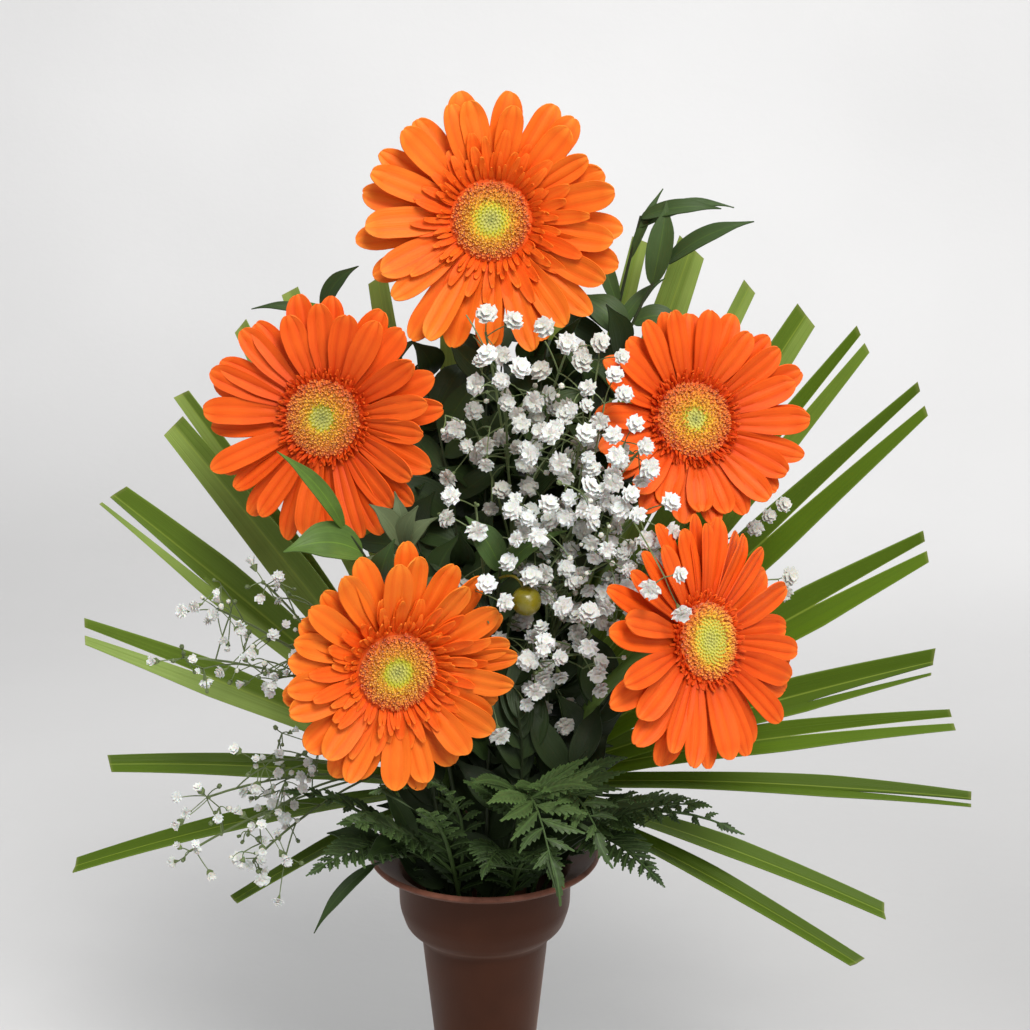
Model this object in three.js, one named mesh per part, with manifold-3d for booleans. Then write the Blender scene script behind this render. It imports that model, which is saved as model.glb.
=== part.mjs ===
// Five gerberas with baby's breath, palm, fern and ruscus, standing in water in a brown vase.
// Millimetres, +Z up. The origin is the middle of the vase's foot and the flowers face -Y.
// Every leaf and petal is a thin closed blade, sunk into what it grows from and fused with it.
// Positions are [x, y, z]. Random draws are seeded, so the bunch comes out the same each time.

import * as THREE from "three";
import { mergeVertices } from "three/addons/utils/BufferGeometryUtils.js";
import Module from "manifold-3d";

const wasm = await Module();
wasm.setup();

// ---------------------------------------------------------------- driving dimensions

const VASE = {
  footRadius: 38,
  footEdge: 3, // height of the foot's upright edge
  footTop: 16, // where the foot has drawn in to the cone
  floor: 12, // inside floor
  wall: 1.6,
  neckZ: 125, // the narrow waist under the collar
  neckRadius: 29.4,
  taper: 0.106, // radius lost per millimetre below the neck
  collarZ: 139,
  collarRadius: 39.2,
  collarTop: 158,
  lipRadius: 53,
  lipThick: 3.2,
  rimZ: 166,
  sides: 20,
};
const WATER_LEVEL = 104;
const GAP = 0.4; // clear distance kept between neighbouring pieces
const STEM_HOLE = 0.4; // play of a stem in the water

const GERBERA = {
  stemRadius: 2.9,
  discRadius: 16,
  discRise: 3.2,
  eyeRadius: 6.4, // the closed green florets in the middle
  plate: 3.4, // thickness of the plate that carries the rays
  cupDepth: 13,
  cupRadius: 10.5,
  rayThick: 1.1,
  footZ: 30,
  ring: 9.5, // distance of the stems from the vase's axis, at the neck
};

// at: middle of the disc. face: the way the bloom looks. cup: how far its rays rise, in degrees.
// socket: where its stem stands in the neck, in degrees round the vase. bend: how far the stem
// runs straight on from the neck, and straight back from the bloom, before it curves.
const BLOOMS = [
  {
    name: "top",
    double: true,
    at: [4, -25, 456],
    face: [0, -1, 0.14],
    radius: 56,
    cup: 9,
    socket: 90,
    bend: [90, 90],
  },
  {
    name: "left",
    at: [-66, -45, 377],
    face: [-0.25, -1, 0.15],
    radius: 51,
    cup: 7,
    socket: 162,
    bend: [60, 60],
  },
  {
    name: "right",
    at: [89, -40, 376],
    face: [0.26, -0.9, 0.34],
    radius: 49,
    cup: 14,
    socket: 18,
    bend: [60, 60],
  },
  {
    name: "low_right",
    at: [94, -84, 294],
    face: [0.66, -0.7, 0.27],
    radius: 53,
    cup: 3,
    socket: 306,
    bend: [45, 50],
  },
  {
    name: "low_left",
    double: true,
    at: [-33, -85, 280],
    face: [0.3, -0.95, 0],
    radius: 54,
    cup: 11,
    socket: 234,
    bend: [40, 45],
  },
];

const PALM = {
  thick: 0.9,
  fold: 0.34, // how far a segment's edges stand above its rib, as a share of half its width
  petiole: 2.6,
  footZ: 40,
  ring: 21.5,
  hubRadius: 11.4,
  hubThick: 6,
  root: 3, // distance from the hub's middle to where its segments start
};
// Segments of a palm leaf: cut tip, full width, share of the length that is split in two, and how far
// its face looks up.
const PALM_LEAVES = [
  {
    name: "palm_leaf_right",
    hub: [12, 22, 188],
    socket: 60,
    segments: [
      [[34, 54, 424], 10, 0, 0],
      [[70, 52, 438], 9, 0, 0],
      [[93, 50, 435], 17, 0.3, 0],
      [[119, 45, 418], 9, 0, 0],
      [[144, 40, 406], 15, 0, 0.1],
      [[169, 35, 396], 15, 0.42, 0.1],
      [[195, 25, 371], 18, 0.5, 0.15],
      [[197, 10, 307], 17, 0.36, 0.2],
      [[201, 0, 256], 14, 0.42, 0.3],
      [[209, -10, 232], 12, 0.5, 0.4],
      [[217, -20, 198], 9, 0.4, 0.5],
      [[177, -40, 153], 11, 0, 0.75],
      [[165, -45, 131], 10, 0, 0.75],
    ],
  },
  {
    name: "palm_leaf_left",
    hub: [-12, 22, 187],
    socket: 120,
    segments: [
      [[-16, 56, 420], 10, 0, 0],
      [[-48, 50, 421], 11, 0, 0],
      [[-87, 45, 416], 10, 0, 0],
      [[-109, 40, 401], 9, 0, 0],
      [[-136, 35, 371], 9, 0, 0.05],
      [[-139, 28, 358], 15, 0, 0.1],
      [[-166, 20, 328], 17, 0.4, 0.2],
      [[-180, 10, 267], 14, 0.45, 0.3],
      [[-170, 0, 207], 10, 0, 0.5],
      [[-186, -10, 161.5], 10, 0, 0.7],
      [[-110, -40, 159], 7, 0, 0.75],
    ],
  },
];

// Fern fronds arch out over the lip: over is the top of the arch, width the spread of the leaflets.
const FERN = { stalk: 1.1, footZ: 66, ring: 21.5, pairs: 6, thick: 0.9 };
const FERNS = [
  { name: "fern_right", socket: 354, tip: [114, -42, 191], over: [58, -24, 216], width: 42 },
  { name: "fern_front_right", socket: 326, tip: [70, -76, 222], over: [34, -42, 212], width: 42 },
  { name: "fern_front", socket: 297, tip: [33, -88, 190], over: [18, -54, 206], width: 40 },
  { name: "fern_front_left", socket: 244, tip: [-24, -92, 224], over: [-16, -50, 204], width: 38 },
  { name: "fern_left", socket: 208, tip: [-84, -60, 219], over: [-44, -34, 206], width: 40 },
  { name: "fern_back", socket: 90, tip: [2, 84, 226], over: [0, 52, 214], width: 44 },
];

// Leafy stems. along: the way the stem runs at its end. bend: as for the blooms.
// leaves: where on the bent part of the stem each leaf grows, its reach to its tip, and its width.
const LEAFY = { stem: 1.2, footZ: 62, ring: 21.5, thick: 1 };
const LEAFY_STEMS = [
  {
    name: "ruscus_top_right",
    socket: 28,
    end: [68, 15, 453],
    along: [0.35, 0, 1],
    bend: [90, 90],
    leaves: [
      [1, [34, -8, 5], 10],
      [0.98, [42, 8, 8], 8],
      [0.93, [14, 4, 30], 5],
      [0.86, [-8, 3, 28], 9],
      [0.8, [24, 6, 30], 8],
      [0.72, [-14, -4, 24], 12],
      [0.62, [-16, 6, 30], 12],
      [0.52, [20, -12, 26], 11],
    ],
  },
  {
    name: "ruscus_right",
    steps: 13,
    socket: 10,
    end: [79, 8, 434],
    along: [0.6, 0, 1],
    bend: [80, 70],
    leaves: [
      [1, [36, -13, 20], 11],
      [0.95, [6, 2, 36], 14],
      [0.88, [22, -2, -2], 13],
      [0.78, [-24, -4, 20], 11],
      [0.68, [26, -6, 18], 11],
      [0.56, [-18, -10, 26], 11],
    ],
  },
  {
    name: "ruscus_top_left",
    socket: 149,
    end: [-70, 15, 411],
    along: [-0.3, 0, 1],
    bend: [80, 70],
    leaves: [
      [1, [16, -5, 22], 10],
      [0.98, [-34, 0, 6], 6],
      [0.93, [-22, 4, 20], 8],
      [0.86, [22, -6, 22], 11],
      [0.76, [-26, 4, 20], 11],
      [0.66, [24, -8, 24], 12],
      [0.55, [-22, -6, 26], 12],
    ],
  },
  {
    name: "ruscus_left_front",
    socket: 226,
    end: [-55, -80, 340],
    along: [-0.7, -0.1, 0.7],
    bend: [50, 40],
    leaves: [
      [1, [-24, -16, 36], 7],
      [0.9, [-30, -18, 6], 17],
      [0.8, [6, -8, 24], 11],
      [0.66, [-28, 4, 12], 12],
      [0.5, [-26, 6, 14], 12],
    ],
  },
  {
    name: "ruscus_middle",
    berry: true,
    socket: 272,
    end: [8, -60, 318],
    along: [0.1, -0.2, 1],
    bend: [70, 50],
    leaves: [
      [1, [-14, -5, 24], 12],
      [0.95, [28, -6, 24], 8],
      [0.84, [22, -8, 22], 12],
      [0.72, [-22, -6, 20], 12],
      [0.6, [24, -8, 14], 12],
      [0.48, [-20, -8, 18], 12],
    ],
  },
  {
    name: "ruscus_low_left",
    steps: 14,
    socket: 194,
    end: [-48, -45, 178],
    along: [-0.8, -0.4, -0.4],
    bend: [34, 22],
    leaves: [
      [1, [-26, -16, -25], 7],
      [0.93, [-26, 2, 12], 11],
      [0.84, [-14, -26, 10], 11],
      [0.72, [-30, 2, 24], 9],
      [0.6, [-14, -22, 16], 10],
    ],
  },
];
const SPRIG = {
  name: "grey_green_sprig",
  socket: 258,
  end: [-33, -60, 328],
  along: [-0.2, -0.1, 1],
  bend: [50, 40],
  leaves: [
    [1, [-12, -9, 20], 9],
    [0.98, [-3, 1, 24], 7],
    [0.97, [7, -6, 21], 8],
    [0.95, [14, -2, 18], 7],
    [0.88, [-18, -6, 12], 8],
    [0.84, [15, -5, 10], 8],
    [0.76, [-16, -3, 14], 8],
    [0.7, [14, -6, 12], 8],
  ],
};
const BERRY = { radius: 6.2, hangs: [11, -6, -8], bow: [9, -5, 6], stalk: 0.6, grows: 0.97 };

// Baby's breath: a main stem to its fork, then branches to an oval field of florets.
const BREATH = { stem: 1.1, footZ: 58, branch: 0.55, bend: [60, 25] };
const FLORET = { radius: 5.2, rise: 2.8, neck: 0.8, calyx: 3.4, tips: 4, spread: 26, ahead: 10 };
const GOLDEN_ANGLE = 2.4; // sets the branches of a spray evenly over its field
const SPRAYS = [
  {
    name: "babys_breath_upper",
    ring: 3,
    socket: 90,
    fork: [14, -18, 330],
    field: [24, -44, 388],
    half: [40, 10, 32],
    branches: 7,
    florets: 3,
    seed: 31,
  },
  {
    name: "babys_breath_right",
    ring: 3,
    socket: 330,
    fork: [34, -28, 286],
    field: [58, -60, 340],
    half: [30, 9, 42],
    branches: 7,
    florets: 3,
    seed: 47,
  },
  {
    name: "babys_breath_middle",
    ring: 3,
    socket: 210,
    fork: [6, -30, 250],
    field: [14, -62, 306],
    half: [42, 12, 50],
    branches: 8,
    florets: 3,
    seed: 59,
  },
  {
    name: "babys_breath_left_high",
    ring: 21.5,
    socket: 180,
    fork: [-60, -20, 250],
    field: [-98, -40, 284],
    half: [34, 12, 30],
    branches: 5,
    florets: 2,
    seed: 67,
  },
  {
    name: "babys_breath_left_low",
    ring: 21.5,
    socket: 165,
    fork: [-60, -14, 206],
    field: [-104, -52, 205],
    half: [30, 12, 32],
    branches: 5,
    florets: 2,
    seed: 73,
  },
];

// ---------------------------------------------------------------- finishes

const finish = (color, roughness, extra = {}) =>
  new THREE.MeshStandardMaterial({ color, roughness, metalness: 0, ...extra });
const MATERIALS = {
  vase: finish(0x5a3222, 0.35),
  water: finish(0xcfdcd8, 0.05, { transparent: true, opacity: 0.4 }),
  rayOrange: finish(0xf26b14, 0.6),
  rayRed: finish(0xee4410, 0.6),
  disc: finish(0xd99a1c, 0.8),
  stem: finish(0x6f9a3a, 0.55),
  palm: finish(0x4f7f1e, 0.4),
  fern: finish(0x2c4a22, 0.6),
  ruscus: finish(0x356326, 0.4),
  sprig: finish(0x6b7549, 0.6),
  berry: finish(0x7d7f1c, 0.3),
  babysBreath: finish(0xf2f1e8, 0.8),
};

// ---------------------------------------------------------------- solids

const UP = new THREE.Vector3(0, 0, 1);
const vec = (p) => new THREE.Vector3(...p);
const turn = THREE.MathUtils.degToRad;

/** A manifold solid from shared vertices and triangles, turned so that its faces point out. */
function closed(points, faces) {
  const vertProperties = new Float32Array(points.flatMap((p) => [p.x, p.y, p.z]));
  const build = (triangles) => {
    const triVerts = new Uint32Array(triangles.flat());
    return new wasm.Manifold(new wasm.Mesh({ numProp: 3, vertProperties, triVerts }));
  };
  const made = build(faces);
  return made.volume() < 0 ? build(faces.map(([a, b, c]) => [a, c, b])) : made;
}

/** A manifold solid from a closed three.js geometry. */
function solid(geometry) {
  const bare = new THREE.BufferGeometry().setAttribute("position", geometry.getAttribute("position"));
  bare.setIndex(geometry.index);
  const merged = mergeVertices(bare, 1e-4);
  const position = merged.getAttribute("position");
  const pointAt = (_, i) => new THREE.Vector3().fromBufferAttribute(position, i);
  const points = Array.from({ length: position.count }, pointAt);
  const index = merged.index.array;
  const faces = [];
  for (let i = 0; i < index.length; i += 3) {
    const [a, b, c] = index.slice(i, i + 3);
    if (a !== b && b !== c && c !== a) faces.push([a, b, c]);
  }
  return closed(points, faces);
}

/** A solid of revolution about +Z from [radius, height] pairs. */
function lathe(profile, sides) {
  const points = profile.map(([r, z]) => new THREE.Vector2(r, z));
  return solid(new THREE.LatheGeometry(points, sides).rotateX(Math.PI / 2));
}

/** A round stem of even thickness along a curve. */
function tube(curve, radius, sides, steps) {
  const ring = Array.from({ length: sides }, (_, i) => {
    const a = (i / sides) * 2 * Math.PI;
    return new THREE.Vector2(radius * Math.cos(a), radius * Math.sin(a));
  });
  const options = { steps, extrudePath: curve, bevelEnabled: false };
  return solid(new THREE.ExtrudeGeometry(new THREE.Shape(ring), options));
}

/** Joins two rings of vertices, or a ring and a point, with triangles. */
function joinRings(faces, from, to) {
  for (let j = 0; j < from.length; j++) {
    const k = (j + 1) % from.length;
    for (const face of [[from[j], from[k], to[k]], [from[j], to[k], to[j]]])
      if (new Set(face).size === 3) faces.push(face);
  }
}

/** Closes a ring of three or four vertices. */
function closeRing(faces, ring) {
  for (let j = 2; j < ring.length; j++)
    if (new Set(ring).size > 2) faces.push([ring[0], ring[j - 1], ring[j]]);
}

/**
 * A thin leaf-like blade through stations {at, side, up, half, lift, thick, slit}: its middle line, the way
 * to its right edge, the way its face looks, half its width, how far its edges stand above its middle, and
 * its thickness there. A station with no width is a point. From the first station with a slit on, the blade
 * is parted into two prongs, half a slit to each side of its middle.
 */
function blade(stations) {
  const points = [];
  const faces = [];
  const place = (point) => points.push(point) - 1;
  let previous = null; // one ring, or the rings of the two prongs
  for (const { at, side, up, half, lift, thick, slit = 0 } of stations) {
    const edge = (sign) => place(at.clone().addScaledVector(side, sign * half).addScaledVector(up, lift));
    const face = (sign, shift) =>
      place(at.clone().addScaledVector(side, shift).addScaledVector(up, (sign * thick) / 2));
    let rings;
    if (half === 0) {
      rings = [Array(4).fill(place(at.clone()))];
    } else if (slit === 0) {
      rings = [[edge(1), face(1, 0), edge(-1), face(-1, 0)]];
    } else {
      rings = [
        [edge(1), face(1, slit), face(-1, slit)],
        [face(1, -slit), edge(-1), face(-1, -slit)],
      ];
      if (previous.length === 1) {
        const [right, top, left, under] = previous[0];
        previous = [[right, top, under], [top, left, under]];
      }
    }
    if (previous) previous.forEach((ring, i) => joinRings(faces, ring, rings[i]));
    else closeRing(faces, [...rings[0]].reverse());
    previous = rings;
  }
  previous.forEach((ring) => closeRing(faces, ring));
  return closed(points, faces);
}

/** A blade along a curve, from [share of the length, half width, slit] rows. */
function bladeAlong(curve, up, widths, fold, thick) {
  return blade(
    widths.map(([share, half, slit]) => {
      const along = curve.getTangent(share);
      const side = new THREE.Vector3().crossVectors(along, up).normalize();
      const face = new THREE.Vector3().crossVectors(side, along).normalize();
      return { at: curve.getPoint(share), side, up: face, half, lift: fold * half, thick, slit };
    }),
  );
}

/** A leaf from its root to its tip that arches up and droops at its end. */
function leaf(root, tip, up, widths, thick) {
  const length = root.distanceTo(tip);
  const middle = root.clone().lerp(tip, 0.5).addScaledVector(up, 0.12 * length);
  return bladeAlong(new THREE.QuadraticBezierCurve3(root, middle, tip), up, widths, 0.25, thick);
}

/** Fuses bodies that grow together, and drops what has come out loose. */
function fuse(bodies) {
  return wasm.Manifold.union(bodies)
    .decompose()
    .reduce((a, b) => (a.volume() > b.volume() ? a : b));
}

/** Numbers from 0 to 1 that are the same on every run. */
function seeded(seed) {
  let state = seed * 7919 + 17;
  return () => {
    state = (state * 1103515245 + 12345) % 2147483648;
    return state / 2147483648;
  };
}

// ---------------------------------------------------------------- the bunch so far

const bunch = new THREE.Group();
const placed = [];

/** Adds a finished solid to the bunch as a named mesh. */
function add(name, body, material) {
  const { numProp, vertProperties, triVerts } = body.getMesh();
  const position = new Float32Array((vertProperties.length / numProp) * 3);
  for (let i = 0; i < position.length / 3; i++)
    position.set(vertProperties.subarray(i * numProp, i * numProp + 3), i * 3);
  const geometry = new THREE.BufferGeometry();
  geometry.setAttribute("position", new THREE.BufferAttribute(position, 3));
  geometry.setIndex(new THREE.BufferAttribute(triVerts, 1));
  geometry.computeVertexNormals();
  const mesh = new THREE.Mesh(geometry, material);
  mesh.name = name;
  bunch.add(mesh);
  placed.push({ body, box: body.boundingBox() });
}

/** True where a body keeps its distance from every piece placed so far. */
function isClear(body) {
  const box = body.boundingBox();
  return placed.every(
    (other) =>
      [0, 1, 2].some((i) => box.min[i] > other.box.max[i] + GAP || box.max[i] < other.box.min[i] - GAP) ||
      body.minGap(other.body, GAP) >= GAP,
  );
}

/** The first of several ways to make a leaf, branch or floret that is clear of the rest, or nothing. */
function firstClear(ways, make) {
  for (const way of ways) {
    const body = make(way);
    if (isClear(body)) return body;
  }
  return null;
}

// ---------------------------------------------------------------- stems

const coneRadius = (z) => VASE.neckRadius - VASE.taper * (VASE.neckZ - z);
const insideRadius = (z) => coneRadius(z) - VASE.wall;
const standing = []; // every stem's place in the water, for its hole

/** The straight lower part of a stem: all of them run towards one point, so none meet. */
function standIn(ring, degrees, footZ) {
  const angle = turn(degrees);
  const at = (z) => {
    const r = (ring * insideRadius(z)) / insideRadius(VASE.neckZ);
    return new THREE.Vector3(r * Math.cos(angle), r * Math.sin(angle), z);
  };
  return { foot: at(footZ), neck: at(VASE.neckZ), way: at(VASE.neckZ).sub(at(footZ)).normalize() };
}

/** A stem's centre line: straight up through the water, then one bend to its end. */
function stemCurve({ foot, neck, way }, end, along, [rise, reach], shift = new THREE.Vector3()) {
  const leave = neck.clone().addScaledVector(way, rise);
  const arrive = end.clone().addScaledVector(along.clone().normalize(), -reach).add(shift);
  const path = new THREE.CurvePath();
  path.add(new THREE.LineCurve3(foot, neck));
  path.add(new THREE.CubicBezierCurve3(neck, leave, arrive, end));
  return path;
}

const SHIFTS = [0, 12, 24, 36].flatMap((size) =>
  Array.from({ length: size ? 8 : 1 }, (_, i) => {
    const angle = (i * Math.PI) / 4;
    return new THREE.Vector3(size * Math.cos(angle), size * Math.sin(angle), 0);
  }),
);

/** Stands a stem in the vase, with its bend pushed aside where it would touch an earlier piece. */
function growStem({ ring, socket, footZ, radius, sides, steps }, end, along, bend) {
  const place = standIn(ring, socket, footZ);
  const lines = SHIFTS.map((shift) => stemCurve(place, end, along, bend, shift));
  const made = lines.map((line) => ({ line, make: () => tube(line, radius, sides, steps) }));
  const found = made.find(({ make }) => isClear(make())) ?? made[0];
  standing.push({ ...place, radius, sides });
  return { arc: found.line.curves[1], body: found.make() };
}

// ---------------------------------------------------------------- vase and water

function makeVase() {
  const { footRadius, footEdge, footTop, floor, wall, neckZ, neckRadius, collarZ, collarRadius } = VASE;
  const { collarTop, lipRadius, lipThick, rimZ, sides } = VASE;
  const shoulder = collarRadius - neckRadius;
  return lathe(
    [
      [0, 0],
      [footRadius, 0],
      [footRadius, footEdge],
      [coneRadius(footTop) + 6, footTop - 8],
      [coneRadius(footTop), footTop],
      [neckRadius, neckZ],
      [neckRadius + 0.7 * shoulder, neckZ + 5],
      [collarRadius, collarZ],
      [collarRadius + 0.6, collarTop],
      [lipRadius - 1, rimZ - lipThick],
      [lipRadius, rimZ - lipThick / 2],
      [lipRadius - 1.4, rimZ],
      [lipRadius - 3.4, rimZ - 1.4],
      [collarRadius - wall + 0.6, collarTop - 0.4],
      [collarRadius - wall, collarZ],
      [neckRadius - wall, neckZ + 2],
      [insideRadius(floor), floor],
      [0, floor],
    ],
    sides,
  );
}

function makeWater() {
  const bottom = VASE.floor + GAP;
  const body = lathe(
    [
      [0, bottom],
      [insideRadius(bottom) - GAP, bottom],
      [insideRadius(WATER_LEVEL) - GAP, WATER_LEVEL],
      [0, WATER_LEVEL],
    ],
    VASE.sides,
  );
  const holes = standing.map(({ foot, neck, way, radius, sides }) =>
    tube(new THREE.LineCurve3(foot.clone().addScaledVector(way, -GAP), neck), radius + STEM_HOLE, sides, 1),
  );
  return holes.reduce((water, hole) => water.subtract(hole), body);
}

// ---------------------------------------------------------------- gerberas

/** One ray in the bloom's own frame, pointing along +X from the disc and then turned to its angle. */
function ray({ angle, root, tip, half, rootZ, rise, droop, roll, full }) {
  const length = tip - root;
  const side = new THREE.Vector3(0, Math.cos(roll), Math.sin(roll));
  const up = new THREE.Vector3(0, -Math.sin(roll), Math.cos(roll));
  const height = (share) => rootZ + length * (Math.tan(rise) * share - droop * share * share);
  const widths = full ? [[0, 0], [0.5, 0.88], [0.88, 0.94], [1, 0]] : [[0, 0], [0.78, 1], [1, 0]];
  const stations = widths.map(([share, width]) => ({
    at: new THREE.Vector3(root + length * share, 0, height(share)),
    side,
    up,
    half: width * half,
    lift: 0.16 * width * half,
    thick: GERBERA.rayThick,
  }));
  return blade(stations).rotate([0, 0, angle]);
}

/**
 * The layers of rays of a bloom, from the back to the front: how many, how far they reach, half their width,
 * where they start from the disc's rim and from its plane, how steeply they rise and how much they droop.
 */
function rayLayers({ radius, cup, double }) {
  const rise = turn(cup);
  const back = { count: 13, tip: radius, half: 7.6, root: -3.8, rootZ: -2.6, rise, droop: 0.1 };
  const front = { ...back, tip: 0.94 * radius, half: 7.2, root: -2.2, rootZ: -1.9, rise: rise + 0.12 };
  const start = { root: -2, rootZ: -1.7 };
  const inner = double
    ? [
        { ...start, count: 11, tip: 0.68 * radius, half: 4, rise: rise + 0.32, droop: 0.1 },
        { ...start, count: 11, tip: 0.5 * radius, half: 3, rise: rise + 0.56, droop: 0.1 },
      ]
    : [{ ...start, count: 15, tip: GERBERA.discRadius + 7, half: 1.9, rise: rise + 0.8, droop: 0.2 }];
  return [back, { ...front, droop: 0.07, full: true }, ...inner];
}

function makeRays(bloom, random) {
  const { discRadius, plate } = GERBERA;
  const rim = discRadius + 1.6;
  const profile = [[0, -plate], [rim - 4, -plate], [rim, -plate / 2], [rim - 0.5, -GAP], [0, -GAP]];
  const carrier = lathe(profile, 11);
  const rays = rayLayers(bloom).flatMap((layer, n) =>
    Array.from({ length: layer.count }, (_, i) =>
      ray({
        ...layer,
        angle: ((i + 0.5 * (n % 2) + 0.14 * (random() - 0.5)) / layer.count) * 360,
        root: rim + layer.root,
        tip: layer.tip * (0.95 + 0.07 * random()),
        roll: 0.2 + 0.1 * (random() - 0.5),
      }),
    ),
  );
  return fuse([carrier, ...rays]);
}

/** The disc of small florets: rings of bumps on a low dome, closed and green in the middle. */
function makeDisc() {
  const { discRadius, discRise, eyeRadius } = GERBERA;
  const around = 16;
  const rings = [eyeRadius, 9.4, 12.6, discRadius - 0.4];
  const points = [new THREE.Vector3(0, 0, discRise - 0.9)];
  rings.forEach((r, n) => {
    for (let i = 0; i < around; i++) {
      const a = ((i + 0.5 * (n % 2)) / around) * 2 * Math.PI;
      const bump = n === 0 ? 0 : (i + n) % 2 ? 0.9 : -0.5;
      const dome = discRise * (1 - (0.7 * r * r) / (discRadius * discRadius));
      points.push(new THREE.Vector3(r * Math.cos(a), r * Math.sin(a), dome + bump));
    }
  });
  const last = points.length - around;
  for (let i = 0; i < around; i++) points.push(points[last + i].clone().setZ(0));
  const middle = points.push(new THREE.Vector3(0, 0, 0)) - 1;
  const faces = [];
  for (let i = 0; i < around; i++) {
    const j = (i + 1) % around;
    faces.push([0, 1 + i, 1 + j]);
    faces.push([middle, last + around + j, last + around + i]);
    for (let n = 1; n <= rings.length; n++) {
      const [inner, outer] = [1 + (n - 1) * around, 1 + n * around];
      if (n === rings.length || n % 2 === 0)
        faces.push([inner + i, outer + i, outer + j], [inner + i, outer + j, inner + j]);
      else faces.push([inner + i, outer + i, inner + j], [inner + j, outer + i, outer + j]);
    }
  }
  return closed(points, faces);
}

/** The green cup behind the bloom, with its pointed bracts. */
function makeCup() {
  const { plate, cupDepth, cupRadius, stemRadius } = GERBERA;
  const top = -plate - GAP;
  const bracts = Array.from({ length: 7 }, (_, i) => {
    const stations = [
      [cupRadius - 4, top - 8, 0],
      [cupRadius + 0.5, top - 3.4, 2.6],
      [cupRadius + 7, top - 0.9, 0],
    ].map(([x, z, half]) => ({
      at: new THREE.Vector3(x, 0, z),
      side: new THREE.Vector3(0, 1, 0),
      up: new THREE.Vector3(0.4, 0, -0.9),
      half,
      lift: -0.2,
      thick: 1.2,
    }));
    return blade(stations).rotate([0, 0, (i / 7) * 360]);
  });
  const bottom = top - cupDepth;
  const belly = [0.75 * cupRadius, top - 8];
  const profile = [[0, bottom], [stemRadius, bottom], belly, [cupRadius, top], [0, top]];
  return fuse([lathe(profile, 7), ...bracts]);
}

/** Turns a body made facing +Z to face another way at another place. */
function faceTo(body, at, face) {
  const across = new THREE.Vector3(-face.y, face.x, 0).normalize();
  const upright = new THREE.Vector3().crossVectors(face, across);
  const matrix = new THREE.Matrix4().makeBasis(across, upright, face).setPosition(at);
  return body.transform(matrix.elements);
}

function addGerbera(bloom, seed) {
  const { stemRadius, discRise, plate, cupDepth, footZ, ring } = GERBERA;
  const face = vec(bloom.face).normalize();
  const middle = vec(bloom.at).addScaledVector(face, -discRise);
  const stemEnd = middle.clone().addScaledVector(face, -plate - cupDepth);
  const rays = faceTo(makeRays(bloom, seeded(seed)), middle, face);
  const stem = growStem(
    { ring, socket: bloom.socket, footZ, radius: stemRadius, sides: 5, steps: 8 },
    stemEnd,
    face,
    bloom.bend,
  );
  add(`gerbera_${bloom.name}_rays`, rays, bloom.double ? MATERIALS.rayOrange : MATERIALS.rayRed);
  add(`gerbera_${bloom.name}_disc`, faceTo(makeDisc(), middle, face), MATERIALS.disc);
  add(`gerbera_${bloom.name}_stem`, fuse([stem.body, faceTo(makeCup(), middle, face)]), MATERIALS.stem);
}

BLOOMS.forEach((bloom, i) => addGerbera(bloom, i + 1));

// ---------------------------------------------------------------- palm leaves

/** One folded palm segment from the hub to its cut tip. */
function palmSegment(hub, [tip, width, split, lookUp]) {
  const end = vec(tip);
  const face = new THREE.Vector3(0, lookUp - 1, lookUp).normalize();
  const start = hub.clone().addScaledVector(end.clone().sub(hub).normalize(), PALM.root);
  const arch = 0.06 * start.distanceTo(end) * (0.3 + lookUp);
  const bow = start.clone().lerp(end, 0.45).addScaledVector(UP, arch);
  const half = width / 2;
  const whole = [[0, 0.9], [0.3, half * 0.86]];
  const rest = split
    ? [[1 - split, half], [1 - split / 2, half * 0.95, half * 0.1], [1, half * 0.7, half * 0.22]]
    : [[0.62, half], [1, half * 0.62]];
  const curve = new THREE.QuadraticBezierCurve3(start, bow, end);
  return bladeAlong(curve, face, [...whole, ...rest], PALM.fold, PALM.thick);
}

/** The thin round plate at the top of the leaf's stalk, which the segments grow from. */
function palmHub(hub) {
  const { hubRadius, hubThick } = PALM;
  const plate = lathe([[0, -hubThick / 2], [hubRadius, 0], [0, hubThick / 2]], 10);
  return faceTo(plate, hub, new THREE.Vector3(0, -1, 0.3).normalize());
}

for (const { name, hub, socket, segments } of PALM_LEAVES) {
  const { petiole: radius, footZ, ring } = PALM;
  const centre = vec(hub);
  const petiole = growStem({ ring, socket, footZ, radius, sides: 6, steps: 5 }, centre, UP, [20, 25]);
  const blades = segments.map((row) => palmSegment(centre, row));
  add(name, fuse([petiole.body, palmHub(centre), ...blades]), MATERIALS.palm);
}

// ---------------------------------------------------------------- ferns

/** A fern's leaflet, widest near its root. */
function leaflet(root, way, up, length) {
  const widths = [[0, 0], [0.4, 0.11 * length + 0.7], [1, 0]];
  return leaf(root, root.clone().addScaledVector(way, length), up, widths, FERN.thick);
}

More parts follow.
